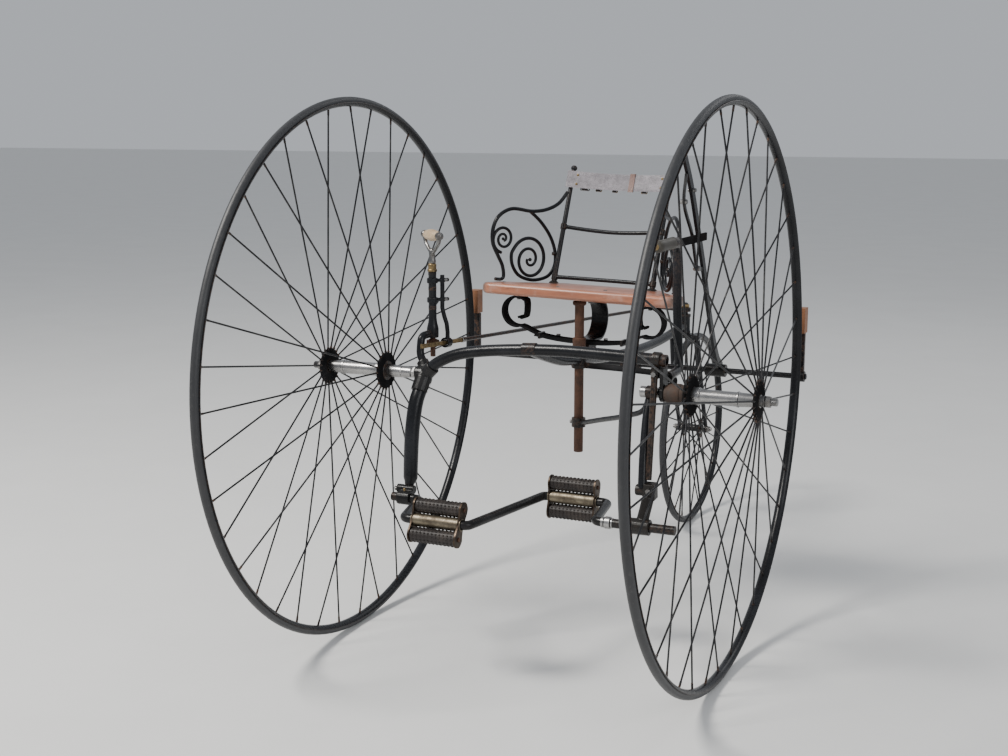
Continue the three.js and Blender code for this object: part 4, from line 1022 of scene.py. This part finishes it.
def brake():
    y, z = BRAKE.y, BRAKE.z
    parts = [(rod((-WHEEL_X - 16, y, z), (WHEEL_X + 16, y, z), 7, 24), BLACK)]
    for s in (-1, 1):
        parts += [(ring(((WHEEL_X - 12) * s, y, z), ((WHEEL_X + 12) * s, y, z), 6.8, 13), BLACK_WORN),
                  (box((20, 11, 98), (s * WHEEL_X, y - 2, z + 58)), BLACK),
                  (hexagon((s * WHEEL_X, y + 3.5, z + 88), (s * WHEEL_X, y + 8, z + 88), 6), NICKEL_DULL)]
    piece("brake_cross_shaft", "brake", ["brake_shaft"], parts, bevel=0.8)

    lever_x = 240
    line = smooth([(y - 6, z + 12), (598, 590), (532, 693), (464, 832), (428, 898), (358, 1021), (304, 1092)])
    latch = smooth([(452, 824), (418, 830), (374, 909), (309, 989), (322, 1050)])
    place = lambda a, b, c: (lever_x + c, a, b)
    parts = [(slab(ribbon(line, 19), 7.6, place, -3.8), BLACK),
             (slab(ribbon(latch, 8.5), 5.6, place, -2.8), BLACK_WORN),
             (rod((lever_x - 40, y, z), (lever_x + 12, y, z), 16, 36), BLACK_WORN)]
    for yy, zz, r, a, b in ((420, 828, 7, -9, 7), (312, 988, 6, -9, 7), (362, 1012, 5, -8, 11.6)):
        parts.append((hexagon((lever_x + a, yy, zz), (lever_x + b, yy, zz), r), NICKEL_DULL))
    piece("brake_lever_iron", "brake", ["brake_lever"], parts, bevel=1.0)
    for side, s in (("right", -1), ("left", 1)):
        block = [(box((25.6, 31, 61), (s * WHEEL_X, y - 9, PAD_Z)), PAD)]
        for dz in (-18, 18):
            rivet = Vector((s * WHEEL_X, y + 6, PAD_Z + dz))
            block.append((rod(rivet, rivet + 1.2 * Y, 4.4, 20), BRASS))
        piece(side + "_brake_block", "brake", [side + "_brake_pad"], block, bevel=2.4)


# Seat


def raked(x, y, height):
    """A point of the raked board: height is from its underside."""
    lean = math.atan(SEAT_RAKE)
    ahead = y - SEAT_LEVEL_Y
    return (x, SEAT_LEVEL_Y + ahead * math.cos(lean) + height * math.sin(lean),
            SEAT_LOW - ahead * math.sin(lean) + height * math.cos(lean))


def settled(x, y, z):
    """Lowers a point of an iron that stands on the raked board, less the higher it is."""
    fade = max(0, 1 - (z - SEAT_HIGH) / (SETTLE_TOP - SEAT_HIGH))
    return Vector((x, y, z - (y - SEAT_LEVEL_Y) * SEAT_RAKE * fade))


def seat_board():
    half, front = 238, 246
    right = [(half - 26, front), *arc((half - 26, front + 26), 26, -80, 0, 8), (half, 335)]
    right += [(half - 2, 346), (half - 12, 358), (half - 40, 376), (151, 451)]
    right += [(149, 470), (143, 488), (132, 500), (118, 504)]
    outline = right + [(-x, y) for x, y in reversed(right)]
    thick = SEAT_HIGH - SEAT_LOW
    board = [(slab(outline, thick, raked), SEAT_WOOD)]
    obj = piece("seat_board_plank", "seat", ["seat_board"], board, bevel=9, sharp=30)
    obj.modifiers["rounded_edges"].segments = 6
    bolts = []
    for x, y in ((-127, 447), (127, 447), (-206, 316), (206, 316), (-60, 300), (60, 300)):
        head = [(0, 0.2), (4.6, 0.2), (4.4, 0.9), (3, 1.5), (0, 1.8)]
        bolts.append((turned(head, raked(x, y, thick), Z, 20), NICKEL_DULL))
    piece("seat_bolt_heads", "seat", [], bolts)


def springs():
    def scroll(s):
        turn = arc((s * 166, 713.6), 35.5, 250 if s > 0 else 290, 490 if s > 0 else 50, 30)
        return turn + [(s * 143.5, 704.6), (s * 147, 700.6), (s * 152, 699), (s * 157, 701.5), (s * 161, 700)]

    low = [(-110, 664), (-50, 657), (50, 657), (110, 664)]
    flat = smooth([*scroll(-1)[::-1], *low, *scroll(1)], 3)
    second = smooth([(x, z - 4.6) for x, z in [(-118, 665), *low, (118, 665)]], 6)
    place = lambda a, b, c: (a, 317 + c, b)
    bolts = [(hexagon((x, 317, 662), (x, 317, 667), 5.5), NICKEL_DULL) for x in (-60, 60)]
    clips = [(box((6, 31, 14), (s * 104, 317, 660.6)), BLACK_WORN) for s in (-1, 1)]
    top = [(hexagon((s * 166, 317, 746.4), (s * 166, 317, 741.6), 5), NICKEL_DULL) for s in (-1, 1)]
    piece("leaf_spring_steel", "seat", ["leaf_spring"],
          [(slab(ribbon(flat, 5.4), 28, place, -14), BLACK_DULL),
           (slab(ribbon(second, 3.4), 27, place, -13.5), BLACK_WORN), *bolts, *clips, *top], bevel=0.8)

    post = [(0, 396), (10.4, 396), (11, 397), (11, 639.6), (14.8, 640), (15.6, 641), (15.6, 667), (14.8, 668),
            (11, 668.4), (11, 743), (14, 745), (16, 747), (16, 753), (15.4, 753.8), (0, 753.8)]
    clamp = [(box((38, 54, 9), (0, 326, 645.6)), BLACK)]
    clamp += [(hexagon((s * 15, 342, 640.4), (s * 15, 342, 636), 5.5), NICKEL_DULL) for s in (-1, 1)]
    piece("seat_post_iron", "seat", ["seat_post"],
          [(turned(post, (0, SEAT_POST_Y, 0), Z, 40), RUST), *clamp], bevel=0.7)

    cee = [(345, SEAT_LOW - 7), *arc((385, 699), 46, 88, -84, 30), (366, 654.6), (338, 654.2)]
    piece("c_spring_steel", "seat", ["c_spring"],
          [(slab(ribbon(smooth(cee, 3), 5.4), 42, lambda a, b, c: (c, a, b), -21), BLACK),
           (hexagon((0, 362, 743.6), (0, 362, 739.6), 5.5), NICKEL_DULL)], bevel=0.8)


OUTER_SCROLL = [(-9, 990), (18, 963), (55, 949), (97, 946), (162, 953), (198, 936), (213, 908), (213, 874),
                (198, 845), (183, 818), (180, 792), (186, 787.6), (204, 787.6)]
LOOP = [(104, 946), (72, 922), (40, 886), (25, 852), (25, 822), (41, 799), (70, 788.5), (104, 787.5),
        (137, 799), (155, 824), (157, 848)]


def spiral(centre, start_radius, end_radius, start, turns, steps):
    points = []
    for i in range(steps + 1):
        part = i / steps
        radius = start_radius + (end_radius - start_radius) * part
        angle = math.radians(start) + 2 * math.pi * turns * part
        points.append((centre[0] + radius * math.cos(angle), centre[1] + radius * math.sin(angle)))
    return points


def tapered(count, thick, thin, share=0.35):
    """Radii that fall from thick to thin over the last share of a bar."""
    start = int(count * (1 - share))
    falls = [(i - start) / (count - start) for i in range(start, count)]
    return [thick] * start + [thick + (thin - thick) * fall for fall in falls]


def scroll_arm(side):
    """One arm of the seat, forged from round bar in an upright plane."""
    s = 1 if side == "left" else -1
    ahead = Vector((s * 105, -185, 0)).normalized()
    base = Vector((s * BACK_X, 490, 0))
    put = lambda points: [settled(*(base + a * ahead + b * Z)) for a, b in points]
    outer = smooth(put(OUTER_SCROLL), 8)
    inner = smooth(put(LOOP + spiral(BIG_SCROLL, 54, 6, 28, 1.95, 34)), 5)
    small = smooth(put(spiral(SMALL_SCROLL, 33, 5, -80, 1.9, 30)), 4)
    parts = [(tube(outer, tapered(len(outer), 4.6, 4.0), 18), BLACK),
             (tube(inner, tapered(len(inner), 4.3, 3.2, 0.6), 18), BLACK),
             (tube(small, tapered(len(small), 3.8, 2.9, 0.8), 16), BLACK)]
    big_end, small_end, foot, clip = put([(101, 834), (183, 883), (194, 785.2), (27, 848)])
    parts += [(ball(big_end, 4.6, 14), BLACK),
              (ball(small_end, 3.8, 14), BLACK),
              (ball(foot + Z, 8.5, 20, 0.35), BLACK),
              (ring(clip - 4 * Z, clip + 4 * Z, 3, 6.2, 20), BLACK_WORN)]
    piece(side + "_scroll_arm", "seat", [side + "_arm"], parts, sharp=50)


def seat_back():
    foot_y, top_y, top_z = 437, 547, 1049
    foot_z = settled(BACK_X, foot_y, SEAT_HIGH + 1.6).z
    up = lambda z: foot_y + (top_y - foot_y) * (z - foot_z) / (top_z - foot_z)
    lean = Vector((0, top_y - foot_y, top_z - foot_z)).normalized()
    finial = [(0, 0), (5.4, 0), (5.2, 2), (4, 3), (5.6, 5), (7.6, 8), (8, 11), (6.8, 14.6), (4, 16.6),
              (0, 17)]
    parts = []
    for s in (-1, 1):
        post = [(s * BACK_X, up(z), z) for z in (foot_z + 3, 850, 950, top_z)]
        parts.append((tube(post, [6.4, 6, 5.8, 5.4], 24), BLACK))
        parts.append((turned(finial, (s * BACK_X, up(top_z - 12), top_z - 12), lean, 28), BLACK))
        parts.append((turned([(0, 0), (11.6, 0), (12, 0.8), (10, 3), (6.8, 5), (0, 5)],
                             (s * BACK_X, foot_y, foot_z), Z, 32), BLACK_WORN))
        for z in (906, 786):
            middle = Vector((s * BACK_X, up(z), z))
            parts.append((rod(middle - 7 * lean, middle + 7 * lean, 8, 24), BLACK_WORN))
    for z, sag in ((906, 8), (786, 0)):
        rail = smooth([(-BACK_X, up(z), z), (-60, up(z) + 3, z - 0.7 * sag), (0, up(z) + 4, z - sag),
                       (60, up(z) + 3, z - 0.7 * sag), (BACK_X, up(z), z)])
        parts.append((tube(rail, 5, 20), BLACK))
    piece("seat_back_irons", "seat", ["seat_back"], parts)
    back_strap(up)


def back_strap(up):
    """The leather strap between the back posts, with its keeper band and the buckles behind."""
    middle_z, tall, steps, rows = 1020, 40, 48, 8
    front = up(middle_z) - 6.5
    half = 137

    def surface(u, w, depth):
        """u runs -1 to 1 across the strap, w -1 to 1 up it, depth is from its front face."""
        sag = 1 - u * u
        z = middle_z - 4.5 * sag + 2 + w * tall / 2 * (1 - 0.05 * sag)
        belly = 3.2 * sag + 0.9 * math.sin(3.1 * u + 1.0) * (1 - abs(u)) - 0.8 * (w * w) * sag
        y = front + (up(z) - up(middle_z)) + belly - 4 * (1 - sag) - 2.2 + depth
        return Vector((u * half, y, z))

    vertices, faces = [], []
    for depth in (0.0, 3.6):
        for j in range(rows + 1):
            for i in range(steps + 1):
                edge = 0.5 if j in (0, rows) or i in (0, steps) else 0
                d = depth + edge * (1 if depth == 0 else -1)
                vertices.append(surface(2 * i / steps - 1, 2 * j / rows - 1, d))
    row, layer = steps + 1, (steps + 1) * (rows + 1)
    for j in range(rows):
        for i in range(steps):
            a = j * row + i
            faces.append((a, a + 1, a + row + 1, a + row))
            b = a + layer
            faces.append((b + row, b + row + 1, b + 1, b))
    rim = ([i for i in range(row)] + [j * row + steps for j in range(1, rows + 1)]
           + [rows * row + i for i in reversed(range(steps))] + [j * row for j in reversed(range(1, rows))])
    for a, b in zip(rim, rim[1:] + rim[:1]):
        faces.append((b, a, a + layer, b + layer))
    shape = [((vertices, faces), LEATHER)]
    strap = piece("back_strap_leather", "seat", ["back_strap"], shape, sharp=60)

    def patch(x, wide, w_low, w_high, d_low, d_high, look):
        """A strip that follows the strap, at a depth range from its front face."""
        levels = [w_low + (w_high - w_low) * k / 6 for k in range(7)]
        points = [surface((x + dx) / half, w, d) for w in levels
                  for dx, d in ((-wide, d_low), (wide, d_low), (wide, d_high), (-wide, d_high))]
        quads = [(4 * k + i, 4 * k + (i + 1) % 4, 4 * k + 4 + (i + 1) % 4, 4 * k + 4 + i)
                 for k in range(6) for i in range(4)]
        return (points, quads + [(0, 1, 2, 3), (27, 26, 25, 24)]), look

    band = [(-1.12, 1.12, -1.7, -0.1), (-1.12, 1.12, 3.8, 5.4), (1.06, 1.14, -1.6, 5.3),
            (-1.14, -1.06, -1.6, 5.3)]
    trim = [patch(32, 6.5, *side, LEATHER_BAND) for side in band]
    for x, wide in ((-88, 11), (-52, 7), (-10, 6), (66, 7)):
        trim.append(patch(x, 0.7 * wide, -1.3, 0.3, 5.9, 7.9, STRAP_DARK))
        frame_points = [surface((x + dx) / half, w, 8.6) for dx, w in
                        ((-wide, -1.26), (wide, -1.26), (wide, -0.9), (-wide, -0.9), (-wide, -1.26))]
        for a, b in zip(frame_points, frame_points[1:]):
            trim.append((rod(a, b, 1.4, 10), NICKEL_DULL if wide > 10 else BRASS))
    for s in (-1, 1):
        for w in (-0.55, 0.55):
            stud = [(0, 0), (3.4, 0), (3, 0.8), (1.6, 1.4), (0, 1.5)]
            trim.append((turned(stud, surface(s * 0.80, w, -0.2), -Y, 18), BRASS))
    piece("strap_keeper_and_buckles", "seat", [], trim)


# Stage


def stage():
    floor_mesh = bpy.data.meshes.new("floor")
    corners = [(x * FLOOR_HALF, y * FLOOR_HALF, 0) for x, y in ((-1, -1), (1, -1), (1, 1), (-1, 1))]
    floor_mesh.from_pydata(corners, [], [(0, 1, 2, 3)])
    floor_mesh.materials.append(plain_floor("pale_floor"))
    floor = bpy.data.objects.new("floor", floor_mesh)
    bpy.context.scene.collection.objects.link(floor)
    floor.location.z = -0.001

    world = bpy.data.worlds.new("studio")
    bpy.context.scene.world = world
    world.use_nodes = True
    sky = world.node_tree.nodes["Background"]
    sky.inputs["Color"].default_value = (0.86, 0.9, 0.96, 1)
    sky.inputs["Strength"].default_value = 0.55

    def lamp(name, place, aim, power, size, colour=(1, 1, 1)):
        data = bpy.data.lights.new(name, "AREA")
        data.energy, data.size, data.color = power, size, colour
        obj = bpy.data.objects.new(name, data)
        bpy.context.scene.collection.objects.link(obj)
        obj.location = place
        obj.rotation_mode = "QUATERNION"
        obj.rotation_quaternion = (Vector(aim) - Vector(place)).to_track_quat("-Z", "Y")

    lamp("key", (-2.4, -2.6, 4.6), (0, 0, 0.5), 330, 1.3, (1, 0.97, 0.92))
    lamp("fill", (4.2, -2.8, 2.6), (0, 0, 0.6), 85, 2.6)
    lamp("rim", (1.5, 4.2, 3.8), (0, 0, 0.7), 22, 2.0)


def camera():
    """The photograph's own viewpoint and angle."""
    data = bpy.data.cameras.new("camera")
    data.sensor_width = 36
    data.lens = 51.73
    data.clip_end = 200
    cam = bpy.data.objects.new("camera", data)
    bpy.context.scene.collection.objects.link(cam)
    cam.location = at(1252.5, -2822.2, 1176.1)
    yaw, pitch = 0.4357, 0.1785
    forward = Vector((-math.sin(yaw) * math.cos(pitch), math.cos(yaw) * math.cos(pitch), -math.sin(pitch)))
    cam.rotation_mode = "QUATERNION"
    cam.rotation_quaternion = forward.to_track_quat("-Z", "Y")
    bpy.context.scene.camera = cam


camera()
stage()
wheels()
axles()
frame_tubes()
left_frame()
crank()
steering()
rear_end()
left_hand()
brake()
seat_board()
springs()
scroll_arm("left")
scroll_arm("right")
seat_back()
